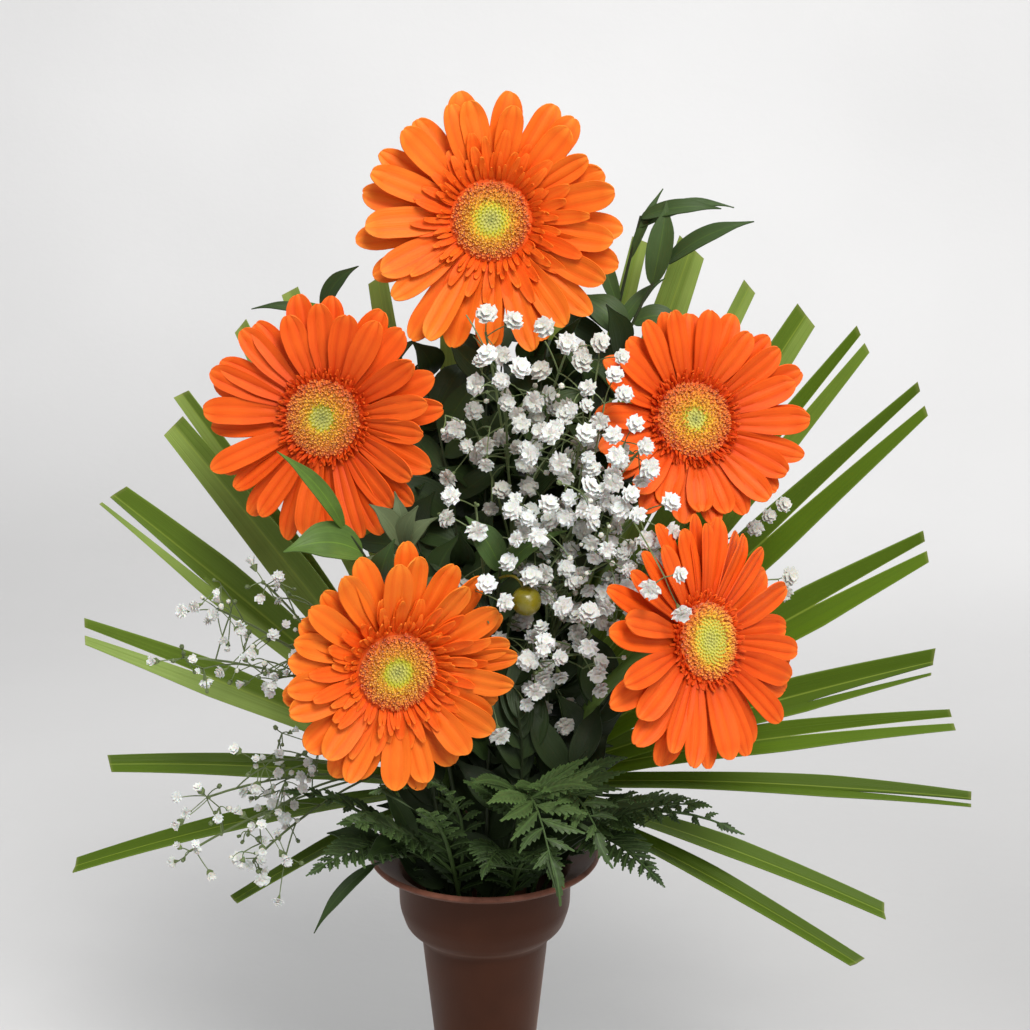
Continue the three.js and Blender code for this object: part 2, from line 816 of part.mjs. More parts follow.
function makeFern({ tip, over, width, socket }) {
  const { ring, footZ, stalk, pairs } = FERN;
  const [end, bend] = [vec(tip), vec(over)];
  const way = end.clone().sub(bend);
  const grow = { ring, socket, footZ, radius: stalk, sides: 4, steps: 11 };
  const { arc, body } = growStem(grow, end, way, [34, way.length()]);
  const up = new THREE.Vector3(0, -0.25, 1).normalize();
  const bodies = [body, leaflet(arc.getPoint(0.93), arc.getTangent(0.97), up, width * 0.28)];
  for (let i = 0; i < 2 * pairs; i++) {
    const share = 0.48 + (0.46 * i) / (2 * pairs);
    const along = arc.getTangent(share);
    const side = new THREE.Vector3().crossVectors(along, up).multiplyScalar(i % 2 ? 1 : -1).normalize();
    const length = (width / 2) * (1 - (0.35 * i) / pairs);
    const made = firstClear([0, 0.3, -0.3, 0.6, -0.6], (lean) => {
      const out = side.clone().addScaledVector(along, 0.6).addScaledVector(up, lean).normalize();
      return leaflet(arc.getPoint(share), out, up, length);
    });
    if (made) bodies.push(made);
  }
  return fuse(bodies);
}

for (const fern of FERNS) add(fern.name, makeFern(fern), MATERIALS.fern);

// ---------------------------------------------------------------- leafy stems and the berry

/** The one berry, hanging on its short stalk beside a leafy stem. */
function makeBerry(arc) {
  const { radius, hangs, bow, stalk, grows } = BERRY;
  const from = arc.getPoint(grows).add(new THREE.Vector3(0, -(LEAFY.stem + stalk + GAP), 0));
  const centre = from.clone().add(vec(hangs));
  const line = new THREE.QuadraticBezierCurve3(from, from.clone().add(vec(bow)), centre);
  const ball = solid(new THREE.SphereGeometry(radius, 8, 6)).translate(centre.toArray());
  return fuse([ball, tube(line, stalk, 4, 4)]);
}

/** A stem with its leaves. A leaf that would touch another piece is turned a little, or left out. */
function makeLeafy({ socket, end, along, bend, leaves, berry, steps = 8 }) {
  const { ring, footZ, stem, thick } = LEAFY;
  const grow = { ring, socket, footZ, radius: stem, sides: 4, steps };
  const { arc, body } = growStem(grow, vec(end), vec(along), bend);
  if (berry) add("ruscus_berry", makeBerry(arc), MATERIALS.berry);
  const bodies = [body];
  for (const [share, reach, width] of leaves) {
    const root = arc.getPoint(share).addScaledVector(arc.getTangent(share), share === 1 ? -1 : 0);
    const way = vec(reach);
    const up = new THREE.Vector3(0, -0.75, 0.65).projectOnPlane(way.clone().normalize()).normalize();
    const widths = [[0, 0], [0.45, width / 2], [1, 0]];
    const turns = [0, 0.2, -0.2, 0.4, -0.4, 0.7, -0.7, 1, -1, 1.4, -1.4];
    const made = firstClear(turns, (angle) => {
      const tip = way.clone().applyAxisAngle(arc.getTangent(share), angle).add(root);
      return leaf(root, tip, up, widths, thick);
    });
    if (made) bodies.push(made);
  }
  return fuse(bodies);
}

for (const stem of LEAFY_STEMS) add(stem.name, makeLeafy(stem), MATERIALS.ruscus);
add(SPRIG.name, makeLeafy(SPRIG), MATERIALS.sprig);

// ---------------------------------------------------------------- baby's breath

/** A small double floret on its own stalk: a ruffled head above a calyx that draws in to the stalk. */
function floret(root, at) {
  const { radius, rise, neck, calyx, tips } = FLORET;
  const face = at.clone().sub(root).add(new THREE.Vector3(0, -7, 4)).normalize();
  const across = new THREE.Vector3(-face.y, face.x, 0).normalize();
  const upright = new THREE.Vector3().crossVectors(face, across);
  const spot = (r, angle, z) =>
    at
      .clone()
      .addScaledVector(across, r * Math.cos(angle))
      .addScaledVector(upright, r * Math.sin(angle))
      .addScaledVector(face, z);
  const points = [spot(0, 0, rise), root.clone()];
  const faces = [];
  for (let i = 0; i < tips; i++) {
    const angle = (i / tips) * 2 * Math.PI;
    const between = angle + Math.PI / tips;
    points.push(spot(radius, angle, 1), spot(0.8 * radius, between, -0.4), spot(neck, angle, -calyx));
    const [tip, notch, throat] = [2, 3, 4].map((k) => k + 3 * i);
    const [nextTip, nextThroat] = [2, 4].map((k) => k + 3 * ((i + 1) % tips));
    faces.push([0, tip, notch], [0, notch, nextTip]);
    faces.push([tip, throat, notch], [notch, throat, nextThroat], [notch, nextThroat, nextTip]);
    faces.push([throat, 1, nextThroat]);
  }
  return closed(points, faces);
}

/** Where the branches of a spray end: spread evenly over its oval field. */
function branchEnds({ field, half, branches }, random) {
  return Array.from({ length: branches }, (_, i) => {
    const angle = i * GOLDEN_ANGLE + 0.5 * random();
    const reach = Math.sqrt((i + 0.4) / branches);
    const depth = half[1] * (1.6 * random() - 0.8) - 6 * (1 - reach);
    return vec(field).add(
      new THREE.Vector3(half[0] * reach * Math.cos(angle), depth, half[2] * reach * Math.sin(angle)),
    );
  });
}

function makeSpray(spray) {
  const { ring, socket, fork, florets, seed } = spray;
  const { radius, spread, ahead } = FLORET;
  const random = seeded(seed);
  const along = vec(spray.field).sub(vec(fork));
  const grow = { ring, socket, footZ: BREATH.footZ, radius: BREATH.stem, sides: 4, steps: 7 };
  const { arc, body } = growStem(grow, vec(fork), along, BREATH.bend);
  const bodies = [body];
  const heads = [];
  for (const end of branchEnds(spray, random)) {
    const root = arc.getPoint(0.8 + 0.19 * random());
    const lines = [0, 12, -12, 24, -24, 40].map((swing) => {
      const bow = root.clone().lerp(end, 0.5).add(new THREE.Vector3(swing, swing * 0.4, 8));
      return new THREE.QuadraticBezierCurve3(root, bow, end);
    });
    const line = lines.find((way) => isClear(tube(way, BREATH.branch, 3, 2)));
    if (!line) continue;
    bodies.push(tube(line, BREATH.branch, 3, 2));
    const join = line.getPoint(1).lerp(line.getPoint(0.5), 0.05);
    for (let k = 0; k < florets; k++) {
      const draws = Array.from({ length: 14 }, () => {
        const [right, forward, above] = [random() - 0.5, random() - 0.5, random() - 0.5];
        const shift = new THREE.Vector3(spread * right, 0.3 * spread * forward - ahead, spread * above);
        return end.clone().add(shift);
      });
      const apart = draws.filter((at) => heads.every((head) => head.distanceTo(at) > 2 * radius));
      const at = apart.find((spot) => isClear(floret(join, spot)));
      if (!at) continue;
      bodies.push(floret(join, at));
      heads.push(at);
    }
  }
  return fuse(bodies);
}

for (const spray of SPRAYS) add(spray.name, makeSpray(spray), MATERIALS.babysBreath);

// ---------------------------------------------------------------- vase, filled last round the stems

add("vase", makeVase(), MATERIALS.vase);
add("water", makeWater(), MATERIALS.water);

export default bunch;
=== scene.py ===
"""Looks for five gerberas with baby's breath, palm, fern and ruscus in a brown vase.

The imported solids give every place. Each piece here is a finer form of one solid. It is modelled in
millimetres in the same frame, and scaled to metres when it is finished. The lists of places are the
ones the solids were made from.
"""

import math
from functools import lru_cache
from random import Random

import bmesh
import bpy
from bpy.props import FloatProperty, FloatVectorProperty, IntProperty, PointerProperty
from mathutils import Matrix, Vector, noise
from mathutils.kdtree import KDTree


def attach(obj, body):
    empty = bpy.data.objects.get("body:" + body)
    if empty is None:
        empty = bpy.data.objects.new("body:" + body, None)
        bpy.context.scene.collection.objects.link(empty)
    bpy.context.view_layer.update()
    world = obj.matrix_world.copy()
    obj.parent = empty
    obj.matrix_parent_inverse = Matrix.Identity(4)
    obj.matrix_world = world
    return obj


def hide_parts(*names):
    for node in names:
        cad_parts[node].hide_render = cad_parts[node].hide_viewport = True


bl_info = {
    "name": "Gerberas in a flared vase",
    "version": (1, 0, 0),
    "blender": (4, 5, 0),
    "location": "View3D > Sidebar > Flowers",
    "description": "Dresses the solids of a bunch of gerberas in a vase",
    "category": "Object",
}

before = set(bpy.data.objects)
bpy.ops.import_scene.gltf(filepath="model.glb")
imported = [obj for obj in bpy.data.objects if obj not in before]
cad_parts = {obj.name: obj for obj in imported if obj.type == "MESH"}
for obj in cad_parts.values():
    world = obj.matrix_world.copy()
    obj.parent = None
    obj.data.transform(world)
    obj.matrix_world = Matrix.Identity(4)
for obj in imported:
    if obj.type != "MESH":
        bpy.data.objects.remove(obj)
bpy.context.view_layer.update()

MM = 0.001
STRAIGHT_STEP = 16  # millimetres between the rings of a stem's straight part
ONE_POINT = 1e-4  # points closer than this many millimetres are one
LEVEL_OUT = 1e-3  # how far a level edge's ends may differ in their distance from the axis
BODY = "root"
BLADE = "blade"  # how far across and along its blade a point lies, and the blade's tone

# ---------------------------------------------------------------- places and sizes, in millimetres

VASE = {
    "foot_radius": 38, "foot_top": 16, "floor": 12, "wall": 1.6, "neck_z": 125, "neck_radius": 29.4,
    "taper": 0.106, "collar_z": 139, "collar_radius": 39.2, "collar_top": 158, "lip_radius": 53,
    "lip_thick": 3.2, "rim_z": 166,
}
LIP_ROUNDING = 0.55

GERBERA = {
    "stem_radius": 2.9, "disc_radius": 16, "disc_rise": 3.2, "plate": 3.4, "cup_depth": 13,
    "cup_radius": 10.5, "foot_z": 30, "ring": 9.5, "steps": 8,
}
PLATE_RADIUS = 17.6  # the plate behind the disc that carries the petals
GROOVE_AT = 0.4  # how far from a petal's middle its grooves run
# A bloom's eye is the share of the disc whose florets are closed.
# A bloom's reach says how much longer or shorter its petals grow to the right, up, left and down.
BLOOMS = [
    {
        "name": "top", "double": True, "at": (4, -25, 456), "face": (0, -1, 0.14), "radius": 56,
        "cup": 9, "reach": (0.98, 0.95, 1.03, 1.06), "eye": 0.5, "eye_tint": (0.08, 0.36),
        "socket": 90, "bend": (90, 90),
    },
    {
        "name": "left", "double": False, "at": (-66, -45, 377), "face": (-0.25, -1, 0.15),
        "radius": 51, "cup": 7, "reach": (0.98, 1.0, 1.1, 1.1), "eye": 0.33,
        "eye_tint": (0.04, 0.2), "socket": 162, "bend": (60, 60),
    },
    {
        "name": "right", "double": False, "at": (89, -40, 376), "face": (0.26, -0.9, 0.34),
        "radius": 49, "cup": 14, "reach": (1.06, 0.98, 0.95, 0.93), "eye": 0.26,
        "eye_tint": (0.0, 0.26), "socket": 18, "bend": (60, 60),
    },
    {
        "name": "low_right", "double": False, "at": (94, -84, 294), "face": (0.66, -0.7, 0.27),
        "radius": 53, "cup": 3, "reach": (1.09, 0.99, 1.08, 1.04), "eye": 0.6,
        "eye_tint": (0.2, 0.28), "socket": 306, "bend": (45, 50),
    },
    {
        "name": "low_left", "double": True, "at": (-33, -85, 280), "face": (0.3, -0.95, 0),
        "radius": 54, "cup": 11, "reach": (0.95, 1.0, 0.92, 0.99), "eye": 0.4,
        "eye_tint": (0.12, 0.34), "socket": 234, "bend": (40, 45),
    },
]

PALM = {
    "petiole": 2.6, "foot_z": 40, "ring": 21.5, "hub_radius": 11.4, "hub_thick": 6, "root": 3,
    "bend": (20, 25), "steps": 5,
}
# Segments: cut tip, full width, share of the length that is split, how far the face looks up.
PALM_LEAVES = [
    {
        "name": "palm_leaf_right", "hub": (12, 22, 188), "socket": 60,
        "segments": [
            ((34, 54, 424), 10, 0, 0), ((70, 52, 438), 9, 0, 0), ((93, 50, 435), 17, 0.3, 0),
            ((119, 45, 418), 9, 0, 0), ((144, 40, 406), 15, 0, 0.1),
            ((169, 35, 396), 15, 0.42, 0.1), ((195, 25, 371), 18, 0.5, 0.15),
            ((197, 10, 307), 17, 0.36, 0.2), ((201, 0, 256), 14, 0.42, 0.3),
            ((209, -10, 232), 12, 0.5, 0.4), ((217, -20, 198), 9, 0.4, 0.5),
            ((177, -40, 153), 11, 0, 0.75), ((165, -45, 131), 10, 0, 0.75),
        ],
    },
    {
        "name": "palm_leaf_left", "hub": (-12, 22, 187), "socket": 120,
        "segments": [
            ((-16, 56, 420), 10, 0, 0), ((-48, 50, 421), 11, 0, 0), ((-87, 45, 416), 10, 0, 0),
            ((-109, 40, 401), 9, 0, 0), ((-136, 35, 371), 9, 0, 0.05),
            ((-139, 28, 358), 15, 0, 0.1), ((-166, 20, 328), 17, 0.4, 0.2),
            ((-180, 10, 267), 14, 0.45, 0.3), ((-170, 0, 207), 10, 0, 0.5),
            ((-186, -10, 161.5), 10, 0, 0.7), ((-110, -40, 159), 7, 0, 0.75),
        ],
    },
]
# Segments whose split runs beside the rib instead of along it: how far across.
PALM_SEAMS = {(-166, 20, 328): -0.5, (201, 0, 256): 0.5, (217, -20, 198): 0.25}
PALM_WHOLE = {(93, 50, 435)}  # segments whose split doesn't show from the front
SPLIT_SHOWN = 0.68  # how much of a split stands open

FERN_LIGHT = (172, 212)  # the heights between which the fronds come out of the dark
BROAD_FROND = 60  # fronds at least this wide have two pairs of leaflets fewer
LEAFLETS_FROM, LEAFLETS_SPAN = 0.48, 0.46  # where the solids' leaflets stand on the frond
FERN = {"stalk": 1.1, "foot_z": 66, "ring": 21.5, "pairs": 6, "rise": 34, "steps": 11}
FERNS = [
    {"name": "fern_right", "socket": 354, "tip": (114, -42, 191), "over": (58, -24, 216),
     "width": 42},
    {
        "name": "fern_front_right", "socket": 326, "tip": (70, -76, 222), "over": (34, -42, 212),
        "width": 42,
    },
    {"name": "fern_front", "socket": 297, "tip": (33, -88, 190), "over": (18, -54, 206),
     "width": 40},
    {
        "name": "fern_front_left", "socket": 244, "tip": (-24, -92, 224), "over": (-16, -50, 204),
        "width": 38,
    },
    {"name": "fern_left", "socket": 208, "tip": (-84, -60, 219), "over": (-44, -34, 206),
     "width": 40},
    {"name": "fern_back", "socket": 90, "tip": (2, 84, 226), "over": (0, 52, 214), "width": 44},
]
# Fronds that grow from a fern's stalk besides its main one: how far up they start, tip, over,
# width, how far their leaflets lean up.
SIDE_FRONDS = {
    "fern_right": [(0.45, (74, -72, 184), (52, -48, 200), 36, -0.15)],
    "fern_front_right": [
        (0.4, (92, -64, 214), (62, -42, 210), 40, -0.15),
        (0.3, (50, -84, 206), (30, -60, 250), 66, 0.3),
    ],
    "fern_front": [
        (0.4, (2, -74, 190), (8, -56, 200), 34, -0.15),
        (0.3, (30, -96, 196), (16, -70, 262), 76, 0.3),
    ],
    "fern_front_left": [
        (0.4, (-56, -82, 214), (-36, -56, 206), 38, -0.15),
        (0.3, (-46, -84, 228), (2, -70, 244), 26, 0.0),
    ],
    "fern_left": [(0.45, (-70, -76, 190), (-44, -52, 198), 36, -0.15)],
}

# Leafy stems. Leaves: share of the bent part of the stem, reach to the tip, width.
LEAFY = {"stem": 1.2, "foot_z": 62, "ring": 21.5, "steps": 8}
LEAFY_STEMS = [
    {
        "name": "ruscus_top_right", "socket": 28, "end": (68, 15, 453), "along": (0.35, 0, 1),
        "bend": (90, 90),
        "leaves": [
            (1, (34, -8, 5), 10), (0.98, (42, 8, 8), 8), (0.93, (14, 4, 30), 5),
            (0.86, (-8, 3, 28), 9), (0.8, (24, 6, 30), 8), (0.72, (-14, -4, 24), 12),
            (0.62, (-16, 6, 30), 12), (0.52, (20, -12, 26), 11),
        ],
    },
    {
        "name": "ruscus_right", "steps": 13, "socket": 10, "end": (79, 8, 434),
        "along": (0.6, 0, 1), "bend": (80, 70),
        "leaves": [
            (1, (36, -13, 20), 11), (0.95, (6, 2, 36), 14), (0.88, (22, -2, -2), 13),
            (0.78, (-24, -4, 20), 11), (0.68, (26, -6, 18), 11), (0.56, (-18, -10, 26), 11),
        ],
    },
    {
        "name": "ruscus_top_left", "socket": 149, "end": (-70, 15, 411), "along": (-0.3, 0, 1),
        "bend": (80, 70),
        "leaves": [
            (1, (16, -5, 22), 10), (0.98, (-34, 0, 6), 6), (0.93, (-22, 4, 20), 8),
            (0.86, (22, -6, 22), 11), (0.76, (-26, 4, 20), 11), (0.66, (24, -8, 24), 12),
            (0.55, (-22, -6, 26), 12),
        ],
    },
    {
        "name": "ruscus_left_front", "socket": 226, "end": (-55, -80, 340),
        "along": (-0.7, -0.1, 0.7), "bend": (50, 40),
        "leaves": [
            (1, (-24, -16, 36), 7), (0.9, (-30, -18, 6), 17), (0.8, (6, -8, 24), 11),
            (0.66, (-28, 4, 12), 12), (0.5, (-26, 6, 14), 12),
        ],
    },
    {
        "name": "ruscus_middle", "socket": 272, "end": (8, -60, 318), "along": (0.1, -0.2, 1),
        "bend": (70, 50),
        "leaves": [
            (1, (-14, -5, 24), 12), (0.95, (28, -6, 24), 8), (0.84, (22, -8, 22), 12),
            (0.72, (-22, -6, 20), 12), (0.6, (24, -8, 14), 12), (0.48, (-20, -8, 18), 12),
        ],
    },
    {
        "name": "ruscus_low_left", "steps": 14, "socket": 194, "end": (-48, -45, 178),
        "along": (-0.8, -0.4, -0.4), "bend": (34, 22),
        "leaves": [
            (1, (-26, -16, -25), 7), (0.93, (-26, 2, 12), 11), (0.84, (-14, -26, 10), 11),
            (0.72, (-30, 2, 24), 9), (0.6, (-14, -22, 16), 10),
        ],
    },
]
# Shoots that fill the middle of the bunch: their start on the stem, the bend and their end.
SHOOTS = {
    "ruscus_middle": [
        (0.3, (-6, -20, 320), (-26, 2, 392)), (0.35, (0, -16, 330), (2, 8, 408)),
        (0.3, (16, -16, 320), (28, 6, 402)), (0.25, (-14, -24, 280), (-38, -8, 346)),
        (0.25, (30, -20, 280), (50, 0, 352)), (0.1, (26, -40, 206), (44, -62, 238)),
        (0.1, (24, -46, 214), (14, -68, 262)), (0.15, (40, -30, 230), (62, -44, 266)),
        (0.3, (0, 0, 310), (8, 26, 386)), (0.3, (16, 0, 300), (24, 28, 370)),
        (0.3, (4, -4, 290), (-12, 24, 352)), (0.3, (2, 6, 320), (2, 22, 400)),
        (0.3, (20, 6, 320), (34, 22, 400)), (0.3, (10, 8, 300), (18, 24, 378)),
    ],
    "ruscus_top_left": [(0.35, (-40, 0, 330), (-20, 14, 396)), (0.3, (-20, 10, 320), (0, 20, 372))],
    "ruscus_top_right": [(0.35, (36, 10, 350), (16, 18, 412)), (0.3, (30, 10, 310), (40, 16, 380))],
}
# Leaves with a tone of their own, painted lighter as light, and the two that show in front of the
# florets.
LIGHT_LEAVES = {
    ("ruscus_left_front", 0): 0.8, ("ruscus_left_front", 1): 0.7, ("ruscus_top_left", 2): 0.9,
    ("ruscus_middle", 0): 0.5, ("ruscus_middle", 1): 0.6,
}
FRONT_LEAVES = (0, 1)
# The room that the bunch's deep leaves fill, and how the palm leaves lean back behind it.
BUNCH_MIDDLE = (12, 2, 275)
BUNCH_HALF = (82, 52, 168)
PALM_FRONT, PALM_LEAN, PALM_HUB_Z = 14, 0.11, 188
SPRIG = {
    "name": "grey_green_sprig", "socket": 258, "end": (-33, -60, 328), "along": (-0.2, -0.1, 1),
    "bend": (50, 40),
    "leaves": [
        (1, (-12, -9, 20), 9), (0.98, (-3, 1, 24), 7), (0.97, (7, -6, 21), 8),
        (0.95, (14, -2, 18), 7), (0.88, (-18, -6, 12), 8), (0.84, (15, -5, 10), 8),
        (0.76, (-16, -3, 14), 8), (0.7, (14, -6, 12), 8),
    ],
}
BERRY = {"radius": 6.2, "hangs": (11, -6, -8), "bow": (9, -5, 6), "stalk": 0.6, "grows": 0.97,
         "gap": 0.4}

BREATH = {"stem": 1.1, "foot_z": 58, "branch": 0.55, "bend": (60, 25), "steps": 7}
FLORET = {"radius": 5.2, "rise": 2.8, "spread": 26, "ahead": 10, "draws": 14}
BRANCH_TURN = 2.4  # round the spray from one branch to the next, as in the solids
FLORET_TURN = 2.399963  # round the disc from one floret to the next
RIGHT_FORK = (34, -28, 286)
SPRAYS = [
    {
        "name": "babys_breath_upper", "ring": 3, "socket": 90, "fork": (14, -18, 330),
        "field": (24, -44, 388), "half": (40, 10, 32), "branches": 7, "florets": 3, "seed": 31,
    },
    {
        "name": "babys_breath_right", "ring": 3, "socket": 330, "fork": RIGHT_FORK,
        "field": (58, -60, 340), "half": (30, 9, 42), "branches": 7, "florets": 3, "seed": 47,
    },
    {
        "name": "babys_breath_middle", "ring": 3, "socket": 210, "fork": (6, -30, 250),
        "field": (14, -62, 306), "half": (42, 12, 50), "branches": 8, "florets": 3, "seed": 59,
    },
    {
        "name": "babys_breath_left_high", "ring": 21.5, "socket": 180, "fork": (-60, -20, 250),
        "field": (-98, -40, 284), "half": (34, 12, 30), "branches": 5, "florets": 2, "seed": 67,
    },
    {
        "name": "babys_breath_left_low", "ring": 21.5, "socket": 165, "fork": (-60, -14, 206),
        "field": (-104, -52, 205), "half": (30, 12, 32), "branches": 5, "florets": 2, "seed": 73,
    },
]
# More florets on twigs of their own: where the twig starts, the point it bends by, its end, and
# the florets' places.
MORE_TWIGS = {
    "babys_breath_right": [
        (
            (58, -62, 344), (62, -100, 346), (72, -108, 328),
            [(66, -112, 324), (78, -108, 329), (79, -108, 313)],
        ),
        (
            RIGHT_FORK, (84, -8, 306), (116, -16, 322),
            [(123, -20, 329), (117, -22, 324), (129, -20, 334)],
        ),
        (RIGHT_FORK, (90, -10, 296), (128, -18, 300), [(133, -20, 302), (130, -22, 295)]),
        (
            RIGHT_FORK, (40, -62, 330), (50, -58, 386),
            [(43, -60, 393), (54, -62, 399), (58, -62, 391), (48, -64, 380)],
        ),
        (
            RIGHT_FORK, (44, -66, 320), (58, -66, 372),
            [(53, -70, 376), (62, -72, 381), (56, -74, 366), (66, -74, 372)],
        ),
        (
            RIGHT_FORK, (38, -56, 340), (48, -48, 402),
            [(49, -52, 411), (57, -56, 405), (41, -52, 404)],
        ),
        (
            RIGHT_FORK, (46, -70, 310), (54, -72, 346),
            [(49, -74, 354), (60, -80, 354), (45, -70, 362), (63, -82, 346)],
        ),
    ],
}

# ---------------------------------------------------------------- settings


def colour(name, default):
    """A colour that a user can change."""
    text = f"{name}, as it looks in plain light"
    return FloatVectorProperty(
        name=name, description=text, subtype="COLOR", size=3, min=0, max=1, default=default
    )


def length(name, text, default, low, high):
    """A length in metres that a user can change."""
    return FloatProperty(
        name=name, description=text, default=default, min=low, max=high, unit="LENGTH"
    )


def number_of(name, text, default, low, high):
    """A number of like things that a user can change."""
    return IntProperty(name=name, description=text, default=default, min=low, max=high)


def amount(name, text, default, low, high):
    """A share or a strength that a user can change."""
    return FloatProperty(name=name, description=text, default=default, min=low, max=high)


class VaseSettings(bpy.types.PropertyGroup):
    sides: number_of("Sides", "Faces round the vase", 120, 24, 360)
    rounding: length("Rounding", "Radius of the vase's soft corners", 0.0024, 0.0005, 0.004)
    plastic: colour("Plastic", (0.055, 0.018, 0.0085))
    highlight_and_wear: colour("Painted lip highlight and foot wear", (0.22, 0.085, 0.055))


class GerberaSettings(bpy.types.PropertyGroup):
    petals: number_of("Petals", "Petals in each of the two full rows", 17, 9, 24)
    petal_thickness: length("Petal thickness", "How thick a petal is", 0.0005, 0.0002, 0.0012)
    groove: length("Groove", "Depth of the two grooves along a petal", 0.00042, 0, 0.001)
    disc_florets: number_of("Disc florets", "Small florets in a disc", 360, 60, 600)
    orange: colour("Orange petals", (0.86, 0.168, 0.012))
    red: colour("Red-orange petals", (0.86, 0.112, 0.008))
    eye: colour("Eye", (0.56, 0.54, 0.02))
    stem: colour("Stem", (0.1, 0.17, 0.025))


class PalmSettings(bpy.types.PropertyGroup):
    thickness: length("Thickness", "How thick a segment is", 0.0006, 0.0002, 0.0012)
    fold: amount("Fold", "How far a segment's edges stand above its rib", 0.28, 0, 1)
    green: colour("Palm green", (0.088, 0.155, 0.004))
    rib: colour("Rib", (0.3, 0.38, 0.05))


class FernSettings(bpy.types.PropertyGroup):
    pairs: number_of("Pairs", "Pairs of leaflets on a frond", 10, 6, 20)
    teeth: number_of("Teeth", "Pairs of teeth on a leaflet 20 mm long", 6, 3, 12)
    green: colour("Fern green", (0.05, 0.095, 0.024))


class LeafSettings(bpy.types.PropertyGroup):
    thickness: length("Thickness", "How thick a leaf is", 0.0005, 0.0002, 0.0012)
    deep_leaves: number_of("Deep leaves", "Leaves low on each stem", 30, 0, 60)
    shoot_leaves: number_of("Shoot leaves", "Leaves on each side shoot", 18, 0, 40)
    ruscus: colour("Ruscus green", (0.048, 0.084, 0.024))
    sprig: colour("Sprig green", (0.15, 0.19, 0.09))
    berry: colour("Berry", (0.15, 0.14, 0.006))


class BreathSettings(bpy.types.PropertyGroup):
    stalk: length("Stalk", "Radius of a floret's stalk", 0.00022, 0.0001, 0.0006)
    white: colour("Florets", (0.82, 0.815, 0.79))
    green: colour("Stalks", (0.12, 0.16, 0.06))


class StageSettings(bpy.types.PropertyGroup):
    lens: amount("Lens", "Focal length of the camera, in millimetres", 72.2, 20, 200)
    pitch: FloatProperty(
        name="Pitch",
        description="How far the camera looks down",
        default=math.radians(15),
        subtype="ANGLE",
        unit="ROTATION",
    )
    key: amount("Key light", "Strength of the light from above", 34, 0, 200)
    fill: amount("Fill light", "Strength of the light from the side", 6, 0, 200)
    wall: colour("Floor and wall", (0.73, 0.725, 0.725))


SETTINGS = {
    "flower_vase": VaseSettings,
    "flower_gerberas": GerberaSettings,
    "flower_palm": PalmSettings,
    "flower_ferns": FernSettings,
    "flower_leaves": LeafSettings,
    "flower_breath": BreathSettings,
    "flower_stage": StageSettings,
}

# ---------------------------------------------------------------- lines


def bezier(points, t):
    """The point at t on the Bezier curve of some control points."""
    points = [Vector(p) for p in points]
    while len(points) > 1:
        points = [a.lerp(b, t) for a, b in zip(points, points[1:])]
    return points[0]


def trace(line, steps):
    """Points along a Bezier curve, from its start to its end."""
    return [bezier(line, i / steps) for i in range(steps + 1)]


def bezier_way(points, t):
    """The way such a curve runs at t."""
    return (bezier(points, min(1, t + 1e-3)) - bezier(points, max(0, t - 1e-3))).normalized()


def smooth(x, start, end):
    """0 before start, 1 after end and a soft step between them."""
    t = min(max((x - start) / (end - start), 0), 1)
    return t * t * (3 - 2 * t)


@lru_cache(maxsize=None)
def corners_of(node):
    """The corners of a solid, for finding which of several ways it was made."""
    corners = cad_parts[node].data.vertices
    tree = KDTree(len(corners))
    for i, corner in enumerate(corners):
        tree.insert(corner.co / MM, i)
    tree.balance()
    return tree


def off_corner(node, point):
    """How far a point is from the nearest corner of a solid."""
    return corners_of(node).find(point)[2]


def inside_radius(z):
    return VASE["neck_radius"] - VASE["taper"] * (VASE["neck_z"] - z) - VASE["wall"]


def stand_in(ring, degrees, foot_z):
    """Where a stem stands in the vase, where it leaves the neck, and the way it runs there."""
    angle = math.radians(degrees)

    def at(z):
        r = ring * inside_radius(z) / inside_radius(VASE["neck_z"])
        return Vector((r * math.cos(angle), r * math.sin(angle), z))

    foot, neck = at(foot_z), at(VASE["neck_z"])
    return foot, neck, (neck - foot).normalized()


def even_points(foot, arc, steps, fine=200):
    """Points spaced evenly along a stem: straight from its foot, then bent on its arc."""
    line = [foot] + trace(arc, fine)
    reach = [0.0]
    for a, b in zip(line, line[1:]):
        reach.append(reach[-1] + (b - a).length)
    points, k = [], 0
    for i in range(steps + 1):
        target = reach[-1] * i / steps
        while k < len(line) - 2 and reach[k + 1] < target:
            k += 1
        span = reach[k + 1] - reach[k]
        points.append(line[k].lerp(line[k + 1], (target - reach[k]) / span if span else 0))
    return points


def stem_arc(node, place, radius, steps, end, along, bend):
    """The bent part of a stem, with its bend pushed aside as far as the solid's is."""
    foot, neck, way = place
    end, along = Vector(end), Vector(along).normalized()
    ways = [(0, 0)] + [(size, i * math.pi / 4) for size in (12, 24, 36) for i in range(8)]
    best = None
    for size, angle in ways:
        push = Vector((size * math.cos(angle), size * math.sin(angle), 0))
        arc = [neck, neck + way * bend[0], end - along * bend[1] + push, end]
        rings = [p for p in even_points(foot, arc, steps)[1:-1] if p.z > neck.z]
        off = sum(abs(off_corner(node, p) - radius) for p in rings)
        if best is None or off < best[0] - 1e-3:
            best = (off, arc)
    return best[1]


def seeded(seed):
    """The same numbers from 0 to 1 that the solids were drawn with."""
    state = float(seed * 7919 + 17)

    def draw():
        nonlocal state
        state = math.fmod(state * 1103515245.0 + 12345.0, 2147483648.0)
        return state / 2147483648.0

    return draw


def facing(at, face):
    """Turns a form made facing +Z to face another way at a place."""
    across = Vector((-face.y, face.x, 0)).normalized()
    upright = face.cross(across)
    return Matrix.Translation(at) @ Matrix((across, upright, face)).transposed().to_4x4()


# ---------------------------------------------------------------- forms


